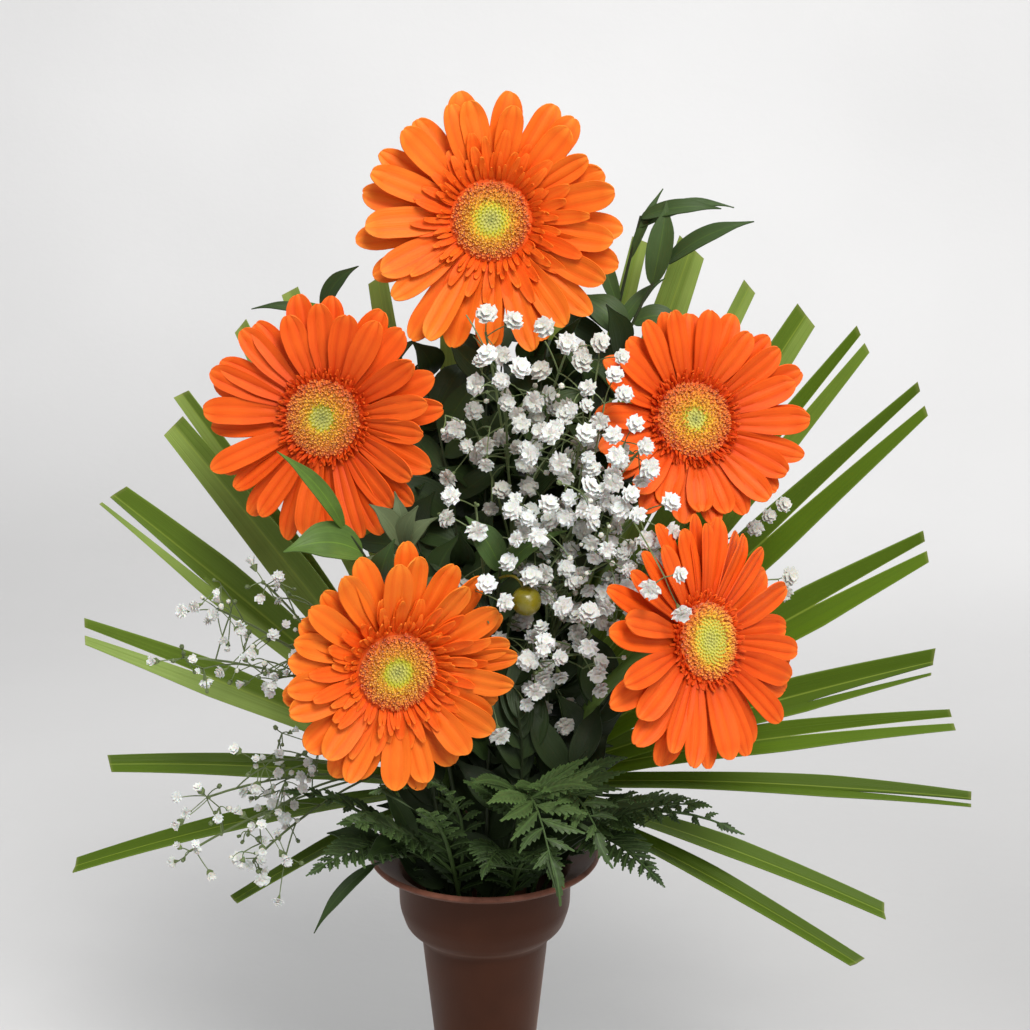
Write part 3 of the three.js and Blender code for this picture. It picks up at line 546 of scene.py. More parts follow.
def start_form():
    form = bmesh.new()
    form.verts.layers.float_vector.new(BLADE)
    return form


def faces_of(verts):
    return list({face for vert in verts for face in vert.link_faces})


def verts_in(geom):
    return [g for g in geom if isinstance(g, bmesh.types.BMVert)]


def lay_grid(form, across, along, tone, crowd=1.0):
    """A flat strip whose points know how far across it (-1 to 1) and along it (0 to 1) they are.

    A crowd over 1 sets its rows closer together towards the tip.
    """
    layer = form.verts.layers.float_vector[BLADE]
    verts = bmesh.ops.create_grid(form, x_segments=across, y_segments=along, size=1)["verts"]
    for vert in verts:
        vert[layer] = (vert.co.x, 1 - ((1 - vert.co.y) / 2) ** crowd, tone)
    return verts


def bend_grid(form, verts, line, up, shape):
    """Bends a strip along a Bezier line. shape(u, v) gives a point's way right, ahead and up."""
    layer = form.verts.layers.float_vector[BLADE]
    rows = {}
    for vert in verts:
        u, v, _ = vert[layer]
        row = rows.get(round(v, 4))
        if row is None:
            along = bezier_way(line, v)
            side = along.cross(up).normalized()
            row = rows[round(v, 4)] = (bezier(line, v), side, along, side.cross(along))
        at, side, along, face = row
        right, ahead, lift = shape(u, v)
        vert.co = at + side * right + along * ahead + face * lift
    return verts


def grow_blade(form, line, up, shape, across, along, tone, crowd=1.0):
    """A leaf or petal, as one sheet of faces. It gets its thickness later, with its whole piece."""
    return bend_grid(form, lay_grid(form, across, along, tone, crowd), line, up, shape)


def thicken(form, thickness):
    """Gives every sheet so far its thickness, with no corner thrown out at a sharp fold."""
    form.normal_update()
    near = KDTree(len(form.verts))
    for i, vert in enumerate(form.verts):
        near.insert(vert.co, i)
    near.balance()
    bmesh.ops.solidify(form, geom=form.faces[:], thickness=thickness)
    for vert in form.verts:
        at, _, off = near.find(vert.co)
        if off > 2 * thickness:
            vert.co = at + (vert.co - at) * thickness / off
    bmesh.ops.recalc_face_normals(form, faces=form.faces[:])


def grow_stem(form, points, radii, sides, tone, material=0):
    """A round closed stem through points, ring by ring. radii is one number or one for each."""
    if isinstance(radii, (int, float)):
        radii = [radii] * len(points)
    layer = form.verts.layers.float_vector[BLADE]
    way = (points[1] - points[0]).normalized()
    seat = Matrix.Translation(points[0]) @ way.to_track_quat("Z", "X").to_matrix().to_4x4()
    ring = bmesh.ops.create_circle(
        form, cap_ends=True, radius=radii[0], segments=sides, matrix=seat
    )["verts"]
    edges = list({edge for vert in ring for edge in vert.link_edges})
    made = list(ring)
    for i, vert in enumerate(ring):
        vert[layer] = (2 * i / sides - 1, 0, tone)
    last = len(points) - 1
    for k in range(1, last + 1):
        grown = bmesh.ops.extrude_edge_only(form, edges=edges)["geom"]
        ring = verts_in(grown)
        held = set(ring)
        edges = [g for g in grown if isinstance(g, bmesh.types.BMEdge) and set(g.verts) <= held]
        ahead = (points[min(k + 1, last)] - points[k - 1]).normalized()
        swing = way.rotation_difference(ahead).to_matrix()
        grow = radii[k] / radii[k - 1]
        for vert in ring:
            vert.co = points[k] + swing @ (vert.co - points[k - 1]) * grow
            vert[layer] = (vert[layer][0], k / last, tone)
        way = ahead
        made += ring
    bmesh.ops.contextual_create(form, geom=edges)
    for face in faces_of(made):
        face.material_index = material
    return made


def stem_points(foot, arc, steps):
    """A stem's line: a straight part from its foot, then its arc."""
    straight = max(2, int((arc[0] - foot).length / STRAIGHT_STEP))
    return [foot.lerp(arc[0], i / straight) for i in range(straight)] + trace(arc, steps)


def spin_outline(form, outline, sides):
    """Spins an outline of (radius, height) pairs once round the upright axis."""
    points = [form.verts.new((r, 0, z)) for r, z in outline]
    edges = [form.edges.new(pair) for pair in zip(points, points[1:])]
    bmesh.ops.spin(
        form,
        geom=points + edges,
        axis=(0, 0, 1),
        cent=(0, 0, 0),
        angle=math.tau,
        steps=sides,
        use_merge=True,
    )


def add_turned(form, outline, sides, matrix, values=(0, 0.1, 0.3)):
    """A turned form, joined at its poles and moved to its place."""
    layer = form.verts.layers.float_vector[BLADE]
    before = set(form.verts)
    spin_outline(form, outline, sides)
    made = [v for v in form.verts if v not in before]
    bmesh.ops.remove_doubles(form, verts=made, dist=ONE_POINT)
    made = [v for v in form.verts if v not in before]
    for vert in made:
        vert[layer] = values
    bmesh.ops.transform(form, matrix=matrix, verts=made)
    bmesh.ops.recalc_face_normals(form, faces=faces_of(made))
    return made


def draw_out(form, edge, way):
    """Draws an edge out into a flat face. Gives the face's far edge."""
    ends = verts_in(bmesh.ops.extrude_edge_only(form, edges=[edge])["geom"])
    bmesh.ops.translate(form, vec=way, verts=ends)
    return next(e for e in form.edges if set(e.verts) == set(ends))


def copy_form(form, source, matrix, tone):
    """One more copy of a small form, moved to its place."""
    layer = form.verts.layers.float_vector[BLADE]
    verts = verts_in(bmesh.ops.duplicate(form, geom=source)["geom"])
    bmesh.ops.transform(form, matrix=matrix, verts=verts)
    for vert in verts:
        vert[layer] = (vert[layer][0], vert[layer][1], tone)
    return verts


def geometry_of(verts):
    """The points, edges and faces of a form, for copying or removing it."""
    edges = {edge for vert in verts for edge in vert.link_edges}
    return list(verts) + list(edges) + faces_of(verts)


def finish_piece(form, name, materials, nodes, sharp=48):
    """Makes a form a piece of the object that stands for its solids."""
    bmesh.ops.scale(form, vec=Vector((MM, MM, MM)), verts=form.verts[:])
    for face in form.faces:
        face.smooth = True
    mesh = bpy.data.meshes.new(name)
    form.to_mesh(mesh)
    form.free()
    mesh.set_sharp_from_angle(angle=math.radians(sharp))
    for material in materials:
        mesh.materials.append(material)
    piece = bpy.data.objects.new(name, mesh)
    bpy.context.scene.collection.objects.link(piece)
    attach(piece, BODY)
    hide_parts(*nodes)
    return piece


# ---------------------------------------------------------------- shared effects in the materials

# Where a colour mix has its factor and its two colours, and its result.
MIX_INPUTS, MIX_RESULT = (0, 6, 7), 2


def node(tree, kind, inputs=None, **values):
    """One shader node. inputs gives a value or another node's socket for each of its inputs."""
    made = tree.nodes.new(kind)
    for key, value in values.items():
        setattr(made, key, value)
    for key, value in (inputs or {}).items():
        if isinstance(value, bpy.types.NodeSocket):
            tree.links.new(value, made.inputs[key])
        else:
            made.inputs[key].default_value = value
    return made


def maths(tree, operation, a, b=0.0, clamp=False):
    made = node(tree, "ShaderNodeMath", {0: a, 1: b}, operation=operation, use_clamp=clamp)
    return made.outputs[0]


def between(tree, value, low, high, start=0.0, end=1.0):
    """Spreads a value that runs from start to end over the range from low to high."""
    ends = {"Value": value, "From Min": start, "From Max": end, "To Min": low, "To Max": high}
    return node(tree, "ShaderNodeMapRange", ends).outputs[0]


def ramp(tree, factor, stops):
    """A colour ramp through [place, colour] stops."""
    made = node(tree, "ShaderNodeValToRGB", {"Fac": factor})
    elements = made.color_ramp.elements
    while len(elements) < len(stops):
        elements.new(1)
    for element, (place, tint) in zip(elements, stops):
        element.position = place
        element.color = (*tint, 1)
    return made.outputs["Color"]


def mix(tree, factor, a, b, blend="MIX"):
    made = node(tree, "ShaderNodeMix", data_type="RGBA", blend_type=blend, clamp_factor=True)
    for place, value in zip(MIX_INPUTS, (factor, a, b)):
        if isinstance(value, bpy.types.NodeSocket):
            tree.links.new(value, made.inputs[place])
        elif isinstance(value, (int, float)):
            made.inputs[place].default_value = value
        else:
            made.inputs[place].default_value = (*value, 1)
    return made.outputs[MIX_RESULT]


def start_group(name, inputs, outputs):
    group = bpy.data.node_groups.new(name, "ShaderNodeTree")
    for label, default in inputs.items():
        socket = group.interface.new_socket(label, in_out="INPUT", socket_type="NodeSocketFloat")
        socket.default_value = default
    for label in outputs:
        group.interface.new_socket(label, in_out="OUTPUT", socket_type="NodeSocketFloat")
    return group, group.nodes.new("NodeGroupInput"), group.nodes.new("NodeGroupOutput")


def blade_parts(tree):
    """How far across and along its blade a point lies, and the blade's tone."""
    place = node(tree, "ShaderNodeAttribute", attribute_name=BLADE, attribute_type="GEOMETRY")
    return node(tree, "ShaderNodeSeparateXYZ", {0: place.outputs["Vector"]}).outputs


def make_vein_group():
    """Fine lines along a blade: Veins is a mask from 0 to 1."""
    group, given, out = start_group("blade veins", {"Lines": 30.0, "Runs": 1.5}, ["Veins"])
    across, along, tone = blade_parts(group)
    x = maths(group, "MULTIPLY", across, given.outputs["Lines"])
    y = maths(group, "MULTIPLY", along, given.outputs["Runs"])
    z = maths(group, "MULTIPLY", tone, 40.0)  # each blade gets lines of its own
    at = node(group, "ShaderNodeCombineXYZ", {0: x, 1: y, 2: z}).outputs[0]
    lines = {"Vector": at, "Scale": 1.0, "Detail": 2.0, "Roughness": 0.5}
    grain = node(group, "ShaderNodeTexNoise", lines)
    group.links.new(grain.outputs[0], out.inputs["Veins"])
    return group


def make_mottle_group():
    """Soft uneven patches all over a piece: Mottle is a mask from 0 to 1."""
    group, given, out = start_group("mottle", {"Scale": 90.0, "Detail": 3.0}, ["Mottle"])
    coordinates = node(group, "ShaderNodeTexCoord").outputs["Object"]
    grain = node(group, "ShaderNodeTexNoise", {"Vector": coordinates, "Roughness": 0.55})
    group.links.new(given.outputs["Scale"], grain.inputs["Scale"])
    group.links.new(given.outputs["Detail"], grain.inputs["Detail"])
    spread = between(group, grain.outputs[0], 0.0, 1.0, 0.3, 0.7)
    group.links.new(spread, out.inputs["Mottle"])
    return group


GROUPS = {"blade veins": make_vein_group, "mottle": make_mottle_group}


def effect(tree, name, **inputs):
    """A shared effect, placed in a material with its own values."""
    group = bpy.data.node_groups.get(name) or GROUPS[name]()
    made = tree.nodes.new("ShaderNodeGroup")
    made.node_tree = group
    for key, value in inputs.items():
        made.inputs[key].default_value = value
    return made.outputs[0]


def start_material(name, **sockets):
    """A material with its one shader, whose steady values stand on the shader's own sockets."""
    material = bpy.data.materials.new(name)
    material.use_nodes = True
    tree = material.node_tree
    shader = next(n for n in tree.nodes if n.type == "BSDF_PRINCIPLED")
    for key, value in sockets.items():
        shader.inputs[key].default_value = value
    return material, tree, shader


def finish_surface(tree, shader, base, rough, height, depth, strength):
    """Joins a colour, a roughness and a relief to the shader."""
    tree.links.new(base, shader.inputs["Base Color"])
    if rough is not None:
        tree.links.new(rough, shader.inputs["Roughness"])
    relief = {"Height": height, "Distance": depth, "Strength": strength}
    tree.links.new(node(tree, "ShaderNodeBump", relief).outputs[0], shader.inputs["Normal"])


def centre_line(tree, across, width, strength):
    """A mask that is strongest along the middle of a blade."""
    return between(tree, maths(tree, "ABSOLUTE", across), strength, 0.0, 0.0, width)


def side_edges(tree, across, start, strength):
    """A mask that is strongest at the two edges of a blade."""
    return between(tree, maths(tree, "ABSOLUTE", across), 0.0, strength, start, 1.0)


def scaled(tint, by):
    return tuple(min(1.0, c * by) for c in tint)


# ---------------------------------------------------------------- vase and water


def plastic_material(settings):
    """Brown plastic, with a painted highlight on the outer rim of its lip, and paler with wear at
    the base of its foot.
    """
    material, tree, shader = start_material(
        "brown moulded plastic",
        **{"Specular IOR Level": 0.12, "Sheen Weight": 0.15, "Sheen Roughness": 0.4},
    )
    shader.inputs["Sheen Tint"].default_value = (1.0, 0.7, 0.55, 1)
    patches = effect(tree, "mottle", Scale=28.0, Detail=2.0)
    grain = effect(tree, "mottle", Scale=900.0, Detail=2.0)
    base = mix(tree, patches, scaled(settings.plastic, 0.85), scaled(settings.plastic, 1.2))
    edge = blade_parts(tree)[2]
    # The paler lip rim is a painted highlight, broken into patches; the paler base of the foot is
    # wear.
    highlight_and_wear_patches = between(tree, effect(tree, "mottle", Scale=160.0), 0.35, 1.0)
    base = mix(tree, maths(tree, "MULTIPLY", edge, highlight_and_wear_patches), base, tuple(settings.highlight_and_wear))
    finish_surface(tree, shader, base, between(tree, patches, 0.4, 0.52), grain, 0.00006, 0.35)
    return material


def water_material():
    material, tree, shader = start_material(
        "still water",
        **{"Metallic": 0.0, "Transmission Weight": 1.0, "IOR": 1.333, "Roughness": 0.02},
    )
    haze = effect(tree, "mottle", Scale=40.0, Detail=2.0)
    base = mix(tree, haze, (0.78, 0.86, 0.8), (0.9, 0.94, 0.9))
    finish_surface(tree, shader, base, None, haze, 0.0004, 0.1)
    return material


def vase_outline():
    """The vase's wall from the middle of its foot, up outside, over the lip and down inside."""
    v = VASE
    cone = inside_radius(v["foot_top"]) + v["wall"]
    shoulder = v["collar_radius"] - v["neck_radius"]
    return [
        (0, 0),
        (v["foot_radius"], 0),
        (v["foot_radius"], 3),
        (cone + 6, v["foot_top"] - 8),
        (cone, v["foot_top"]),
        (v["neck_radius"], v["neck_z"]),
        (v["neck_radius"] + 0.7 * shoulder, v["neck_z"] + 5),
        (v["collar_radius"], v["collar_z"]),
        (v["collar_radius"] + 0.6, v["collar_top"]),
        (v["lip_radius"] - 1, v["rim_z"] - v["lip_thick"]),
        (v["lip_radius"], v["rim_z"] - v["lip_thick"] / 2),
        (v["lip_radius"] - 1.4, v["rim_z"]),
        (v["lip_radius"] - 3.4, v["rim_z"] - 1.4),
        (v["collar_radius"] - v["wall"] + 0.6, v["collar_top"] - 0.4),
        (v["collar_radius"] - v["wall"], v["collar_z"]),
        (v["neck_radius"] - v["wall"], v["neck_z"] + 2),
        (inside_radius(v["floor"]), v["floor"]),
        (0, v["floor"]),
    ]


def level_rings(form, low, high):
    """The edges that run level round a turned form between two heights."""
    found = []
    for edge in form.edges:
        a, b = (vert.co for vert in edge.verts)
        level = abs(a.z - b.z) < ONE_POINT and low <= a.z <= high
        if level and abs(a.xy.length - b.xy.length) < LEVEL_OUT and a.xy.length > 1:
            found.append(edge)
    return found


def make_vase(settings):
    """The vase with soft corners. Its tone is a painted highlight on the lip's outer rim and the
    wear on its foot.
    """
    form = start_form()
    layer = form.verts.layers.float_vector[BLADE]
    spin_outline(form, vase_outline(), settings.sides)
    bmesh.ops.remove_doubles(form, verts=form.verts[:], dist=ONE_POINT)
    bmesh.ops.recalc_face_normals(form, faces=form.faces[:])
    lip_z = VASE["rim_z"] - VASE["lip_thick"] - 0.1
    body = (1, VASE["collar_top"] + 0.1, settings.rounding / MM)
    lip = (lip_z, VASE["rim_z"] + 0.1, LIP_ROUNDING)
    for low, high, offset in (body, lip):
        bmesh.ops.bevel(
            form,
            geom=level_rings(form, low, high),
            offset=offset,
            offset_type="OFFSET",
            segments=4,
            profile=0.5,
            affect="EDGES",
            clamp_overlap=True,
            material=-1,
        )
    for vert in form.verts:
        radius, z = vert.co.xy.length, vert.co.z
        # Painted highlight on the lip's outer rim; wear on the base of the foot.
        out = smooth(radius, VASE["lip_radius"] - 3, VASE["lip_radius"] - 0.4)
        highlight_and_wear = max(out * smooth(z, lip_z - 1, lip_z + 2), 0.5 * (1 - smooth(z, 0.2, 2)))
        vert[layer] = (math.atan2(vert.co.y, vert.co.x) / math.pi, z / VASE["rim_z"], highlight_and_wear)
    material = plastic_material(settings)
    return finish_piece(form, "vase_flared", [material], ["vase"], sharp=60)


def dress_water():
    """The water keeps its solid, with its holes for the stems, and gets its own material."""
    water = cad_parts["water"]
    water.data.materials.clear()
    water.data.materials.append(water_material())


# ---------------------------------------------------------------- gerberas


def petal_material(name, tint, deep):
    """A petal: deep red at its root as painted shade, veined along, with painted shade in its two
    grooves, and paler to its tip as a painted highlight.
    """
    material, tree, shader = start_material(
        name, **{"Specular IOR Level": 0.15, "Subsurface Weight": 0.1, "Subsurface Scale": 0.002}
    )
    shader.inputs["Subsurface Radius"].default_value = (1.0, 0.3, 0.06)
    across, along, tone = blade_parts(tree)
    veins = effect(tree, "blade veins", Lines=9.0, Runs=1.2)
    blotch = effect(tree, "mottle", Scale=120.0, Detail=2.0)
    light = (min(1.0, tint[0] * 1.08), tint[1] * 1.7, tint[2] * 2.4)
    middle = tuple(0.55 * a + 0.45 * b for a, b in zip(tint, deep))
    # Painted shade at the root and a painted highlight at the tip.
    stops = [(0.0, scaled(deep, 0.8)), (0.22, middle), (0.6, tint), (0.86, tint), (1.0, light)]
    base = ramp(tree, along, stops)
    base = mix(tree, between(tree, veins, 0.0, 0.35), base, deep)
    # Painted shade along the two grooves.
    off_groove = maths(tree, "SUBTRACT", maths(tree, "ABSOLUTE", across), GROOVE_AT)
    base = mix(tree, centre_line(tree, off_groove, 0.24, 0.34), base, deep)
    base = mix(tree, maths(tree, "MULTIPLY", tone, 0.25, clamp=True), base, light)
    inner = maths(tree, "MULTIPLY", tone, -0.6, clamp=True)  # the short petals' tone is below 0
    base = mix(tree, inner, base, (min(1.0, deep[0] * 1.25), deep[1] * 1.5, deep[2] * 1.2))
    base = mix(tree, maths(tree, "MULTIPLY", blotch, 0.12), base, deep)
    finish_surface(tree, shader, base, between(tree, veins, 0.45, 0.65), veins, 0.00035, 0.5)
    return material


# The colours of a disc's florets from its middle to its rim, and of their tips.
DISC_STOPS = (0.0, 0.2, 0.32, 0.44, 0.75, 1.0)
DISC_COLOURS = [
    (0.26, 0.28, 0.07), (0.5, 0.48, 0.09), None,
    (0.8, 0.48, 0.03), (0.76, 0.27, 0.02), (0.64, 0.1, 0.008),
]
DISC_TIPS = [
    (0.34, 0.35, 0.1), (0.62, 0.6, 0.15), None,
    (0.9, 0.64, 0.05), (0.95, 0.46, 0.07), (0.92, 0.22, 0.03),
]


def disc_material(settings):
    """The florets of a disc. Their way across runs from the disc's middle (0) to its rim (1)."""
    material, tree, shader = start_material(
        "disc florets", **{"Sheen Weight": 0.25, "Specular IOR Level": 0.3}
    )
    ring, along, tone = blade_parts(tree)
    eye = tuple(settings.eye)
    base, tips = (
        ramp(tree, ring, [(at, tint or middle) for at, tint in zip(DISC_STOPS, tints)])
        for tints, middle in ((DISC_COLOURS, scaled(eye, 0.9)), (DISC_TIPS, eye))
    )
    base = mix(tree, maths(tree, "POWER", along, 2.0), base, tips)
    dark = maths(tree, "MULTIPLY", between(tree, tone, 0.0, 0.3, 0.5, 1.0), ring)
    base = mix(tree, dark, base, (0.5, 0.09, 0.008))
    grain = effect(tree, "mottle", Scale=1500.0, Detail=2.0)
    finish_surface(tree, shader, base, between(tree, grain, 0.55, 0.8), grain, 0.0002, 0.5)
    return material


def stem_material(name, tint):
    """A green stem: lengthwise ridges, lighter and darker stretches."""
    material, tree, shader = start_material(name, **{"Specular IOR Level": 0.4})
    tone = blade_parts(tree)[2]
    ridges = effect(tree, "blade veins", Lines=7.0, Runs=9.0)
    blotch = effect(tree, "mottle", Scale=55.0, Detail=3.0)
    base = mix(tree, blotch, scaled(tint, 0.72), scaled(tint, 1.3))
    base = mix(tree, between(tree, ridges, 0.0, 0.5), base, scaled(tint, 0.5))
    base = mix(tree, between(tree, tone, 0.0, 0.35), base, scaled(tint, 2.4))
    finish_surface(tree, shader, base, between(tree, ridges, 0.42, 0.67), ridges, 0.0003, 0.5)
    return material


def petal_shape(half, cup, groove, pointed, random):
    """One petal's outline and relief: nearly straight sides, two grooves and a round tip."""
    twist = random.uniform(-0.14, 0.14)
    curl = random.uniform(-1.4, 1.4)
    foot = random.uniform(0.46, 0.58)
    widest = random.uniform(0.5, 0.66)
    round_from = random.uniform(0.4, 0.55) if pointed else random.uniform(0.66, 0.78)
    slant = random.uniform(-0.07, 0.07)
    notch = random.choice((0, 0, 0.04, 0.08))
    ruffle, phase = random.uniform(0.05, 0.4), random.uniform(0, math.tau)

    def shape(u, v):
        end = min(max((v - round_from) / (1 - round_from), 0), 1)
        width = half * (foot + (1 - foot) * smooth(v, 0, widest)) * math.sqrt(1 - 0.9 * end * end)
        side = abs(u)
        ahead = (slant * u - 0.1 * u * u) * half * end * end
        ahead -= notch * half * max(0, 1 - 3 * side) * end
        lift = cup * width * u * u + twist * width * u + curl * smooth(v, 0.65, 1) ** 2
        lift += ruffle * math.sin(phase + 6 * v + 2 * u) * side
        if 0.3 < side < 0.5:
            lift -= groove * smooth(v, 0.02, 0.2) * (1 - 0.6 * smooth(v, 0.85, 1))
        lift += 0.4 * groove * (1 - min(side / 0.3, 1))
        return width * u, ahead, lift

    return shape


def ray_layers(bloom, petals):
    """Rows of petals from the back to the front, as the solid has them but with narrower petals."""
    rise, radius = math.radians(bloom["cup"]), bloom["radius"]
    half = 6.2 if bloom["double"] else 5.7
    rim = GERBERA["disc_radius"]
    # Petals in the row, how far out their tips and their roots are, half their width, how high
    # their roots are, how far they rise and droop.
    rows = [
        (petals, radius, -3.8, half, -2.6, 0, 0.1),
        (petals, 0.94 * radius, -2.2, 0.95 * half, -1.9, 0.12, 0.07),
    ]
    if bloom["double"]:
        rows += [
            (17, 0.72 * radius, -2, 3.3, -1.7, 0.2, 0.1),
            (22, 0.59 * radius, -2, 2.3, -1.7, 0.3, 0.1),
            (32, 0.49 * radius, -2, 1.45, -1.7, 0.45, 0.1),
            (42, 0.41 * radius, -2, 0.9, -1.7, 0.7, 0.1),
        ]
    else:
        rows += [
            (44, rim + 5.5, -2, 0.7, -1.7, 0.45, 0.2),
            (52, rim + 4, -2, 0.55, -1.7, 0.65, 0.2),
            (48, rim + 2.6, -3.4, 0.5, -1.7, 0.8, 0.2),
        ]
    keys = ("count", "tip", "root", "half", "root_z", "rise", "droop")
    return [dict(zip(keys, row), rise=rise + row[5]) for row in rows]


def reach_at(bloom, angle):
    right, up, left, down = bloom["reach"]
    c, s = math.cos(angle), math.sin(angle)
    return (right if c > 0 else left) * c * c + (up if s > 0 else down) * s * s


def bloom_seat(bloom):
    face = Vector(bloom["face"]).normalized()
    middle = Vector(bloom["at"]) - face * GERBERA["disc_rise"]
    return facing(middle, face), face, middle


def make_rays(bloom, seed, settings, material):
    """A bloom's petals, row by row, on the round plate behind its disc."""
    form = start_form()
    seat = bloom_seat(bloom)[0]
    random = Random(seed)
    groove = settings.groove / MM
    for n, layer in enumerate(ray_layers(bloom, settings.petals)):
        full = n < 2
        for i in range(layer["count"]):
            angle = (i + 0.5 * (n % 2) + random.uniform(-0.24, 0.24)) / layer["count"] * math.tau
            root = PLATE_RADIUS + layer["root"]
            if full:
                tip = layer["tip"] * random.uniform(0.91, 1.01) * reach_at(bloom, angle)
            else:
                tip = root + (layer["tip"] - root) * random.uniform(0.7, 1.05)
            length = tip - root
            rise = min(layer["rise"] + random.uniform(-0.08, 0.08) * (1 if full else 1.6), 1.1)
            roll = 0.2 + random.uniform(-0.06, 0.06)
            sway = random.uniform(-0.09, 0.09) * length * (1 if full else 1.7)
            fall = layer["droop"] + random.uniform(-0.02, 0.03)
            root_z, climb = layer["root_z"], length * math.tan(rise)
            line = [
                (root, 0, root_z),
                (root + length / 2, 0.2 * sway, root_z + climb / 2),
                (tip, sway, root_z + climb - length * fall),
            ]
            turn = seat @ Matrix.Rotation(angle, 4, "Z")
            line = [turn @ Vector(p) for p in line]
            up = turn.to_3x3() @ Vector((0, -math.sin(roll), math.cos(roll)))
            half = layer["half"] * random.uniform(0.88, 1.08)
            shape = petal_shape(half, 0.16, groove if full else 0.5 * groove, not full, random)
            across, along = (10, 14) if full else (4, 8) if layer["half"] > 1.5 else (2, 6)
            tone = random.uniform(0.1, 0.9) if full else random.uniform(-0.9, -0.1)
            grow_blade(form, line, up, shape, across, along, tone, 1.35)
    thicken(form, settings.petal_thickness / MM)
    rim, plate = PLATE_RADIUS, GERBERA["plate"]
    outline = [(0, -plate), (rim - 4, -plate), (rim, -plate / 2), (rim - 0.5, -0.4), (0, -0.4)]
    add_turned(form, outline, 32, seat)
    name, slot = f"gerbera_{bloom['name']}", "ray_orange" if bloom["double"] else "ray_red"
    return finish_piece(form, name + "_petals", [material], [name + "_rays"])


def disc_height(r):
    """How high the disc's dome stands at a distance from its middle, where it dips."""
    share = r / GERBERA["disc_radius"]
    return GERBERA["disc_rise"] * (1 - 0.7 * share * share) - 0.7 * math.exp(-((share / 0.22) ** 2))


def bud_and_star(form):
    """A closed bud, and an open floret with a star of points round its middle."""
    layer = form.verts.layers.float_vector[BLADE]
    bud = bmesh.ops.create_cone(
        form, cap_ends=True, segments=6, radius1=0.62, radius2=0.36, depth=1.5
    )["verts"]
    for vert in bud:
        vert[layer] = (0, 0.1 if vert.co.z < 0 else 0.9, 0)
    star = bmesh.ops.create_cone(
        form, cap_ends=True, cap_tris=True, segments=8, radius1=0.3, radius2=0.85, depth=2.0
    )["verts"]
    for vert in star:
        high = vert.co.z > 0
        vert[layer] = (0, 0.9 if high else 0, 0)
        if high and vert.co.xy.length < 0.01:
            vert.co.z -= 0.7
            vert[layer] = (0, 0.2, 0)
        elif high:
            spoke = round(math.atan2(vert.co.y, vert.co.x) / (math.tau / 8)) % 2
            vert.co.z += 0.35 if spoke else -0.25
    return bud, star


def make_disc(bloom, seed, settings, material):
    """A low dome set with small florets in spirals, closed in the middle and open at the rim."""
    form = start_form()
    layer = form.verts.layers.float_vector[BLADE]
    seat = bloom_seat(bloom)[0]
    random = Random(100 + seed)
    radius = GERBERA["disc_radius"] - 0.2
    steps = [radius * k / 8 for k in range(8, -1, -1)]
    outline = [(0, -0.3), (radius, -0.3)] + [(r, disc_height(r) - 1.2) for r in steps]
    dome = add_turned(form, outline, 32, Matrix())
    for vert in dome:
        vert[layer] = (vert.co.xy.length / radius, 0, 0.3)
    bud, star = bud_and_star(form)
    forms = (geometry_of(bud), geometry_of(star))
    eye, (low, high) = bloom["eye"], bloom["eye_tint"]
    for k in range(settings.disc_florets):
        share = math.sqrt((k + 0.4) / settings.disc_florets)
        is_open = share > eye
        loose = 0.6 if is_open else 0.12
        r = radius * 0.98 * share + random.uniform(-0.5, 0.4) * loose
        angle = k * FLORET_TURN + random.uniform(-0.05, 0.05) * loose
        size = (0.5 + 0.42 * share) * random.uniform(0.8, 1.15) if is_open else 1.0 + 0.2 * share
        tall = random.uniform(0.8, 1.35) * (1.25 if is_open else 0.8)
        lean = Matrix.Rotation(0.4 * share + random.uniform(-0.5, 0.5) * loose, 4, "Y")
        lean = lean @ Matrix.Rotation(random.uniform(-0.5, 0.5) * loose, 4, "X")
        at = Matrix.Rotation(angle, 4, "Z") @ Matrix.Translation((r, 0, disc_height(r) - 1.0))
        grown = Matrix.Diagonal((size, size, tall, 1))
        verts = copy_form(form, forms[is_open], at @ lean @ grown, random.random())
        tint = low + (high - low) * share / eye
        if is_open:
            tint = 0.44 + 0.56 * (share - eye) / (1 - eye) + random.uniform(-0.08, 0.08)
        for vert in verts:
            vert[layer] = (min(1, tint), vert[layer][1], vert[layer][2])
    bmesh.ops.delete(form, geom=bud + star, context="VERTS")
    bmesh.ops.transform(form, matrix=seat, verts=form.verts[:])
    bmesh.ops.recalc_face_normals(form, faces=form.faces[:])
    name = f"gerbera_{bloom['name']}"
    return finish_piece(form, name + "_florets", [material], [name + "_disc"], sharp=70)


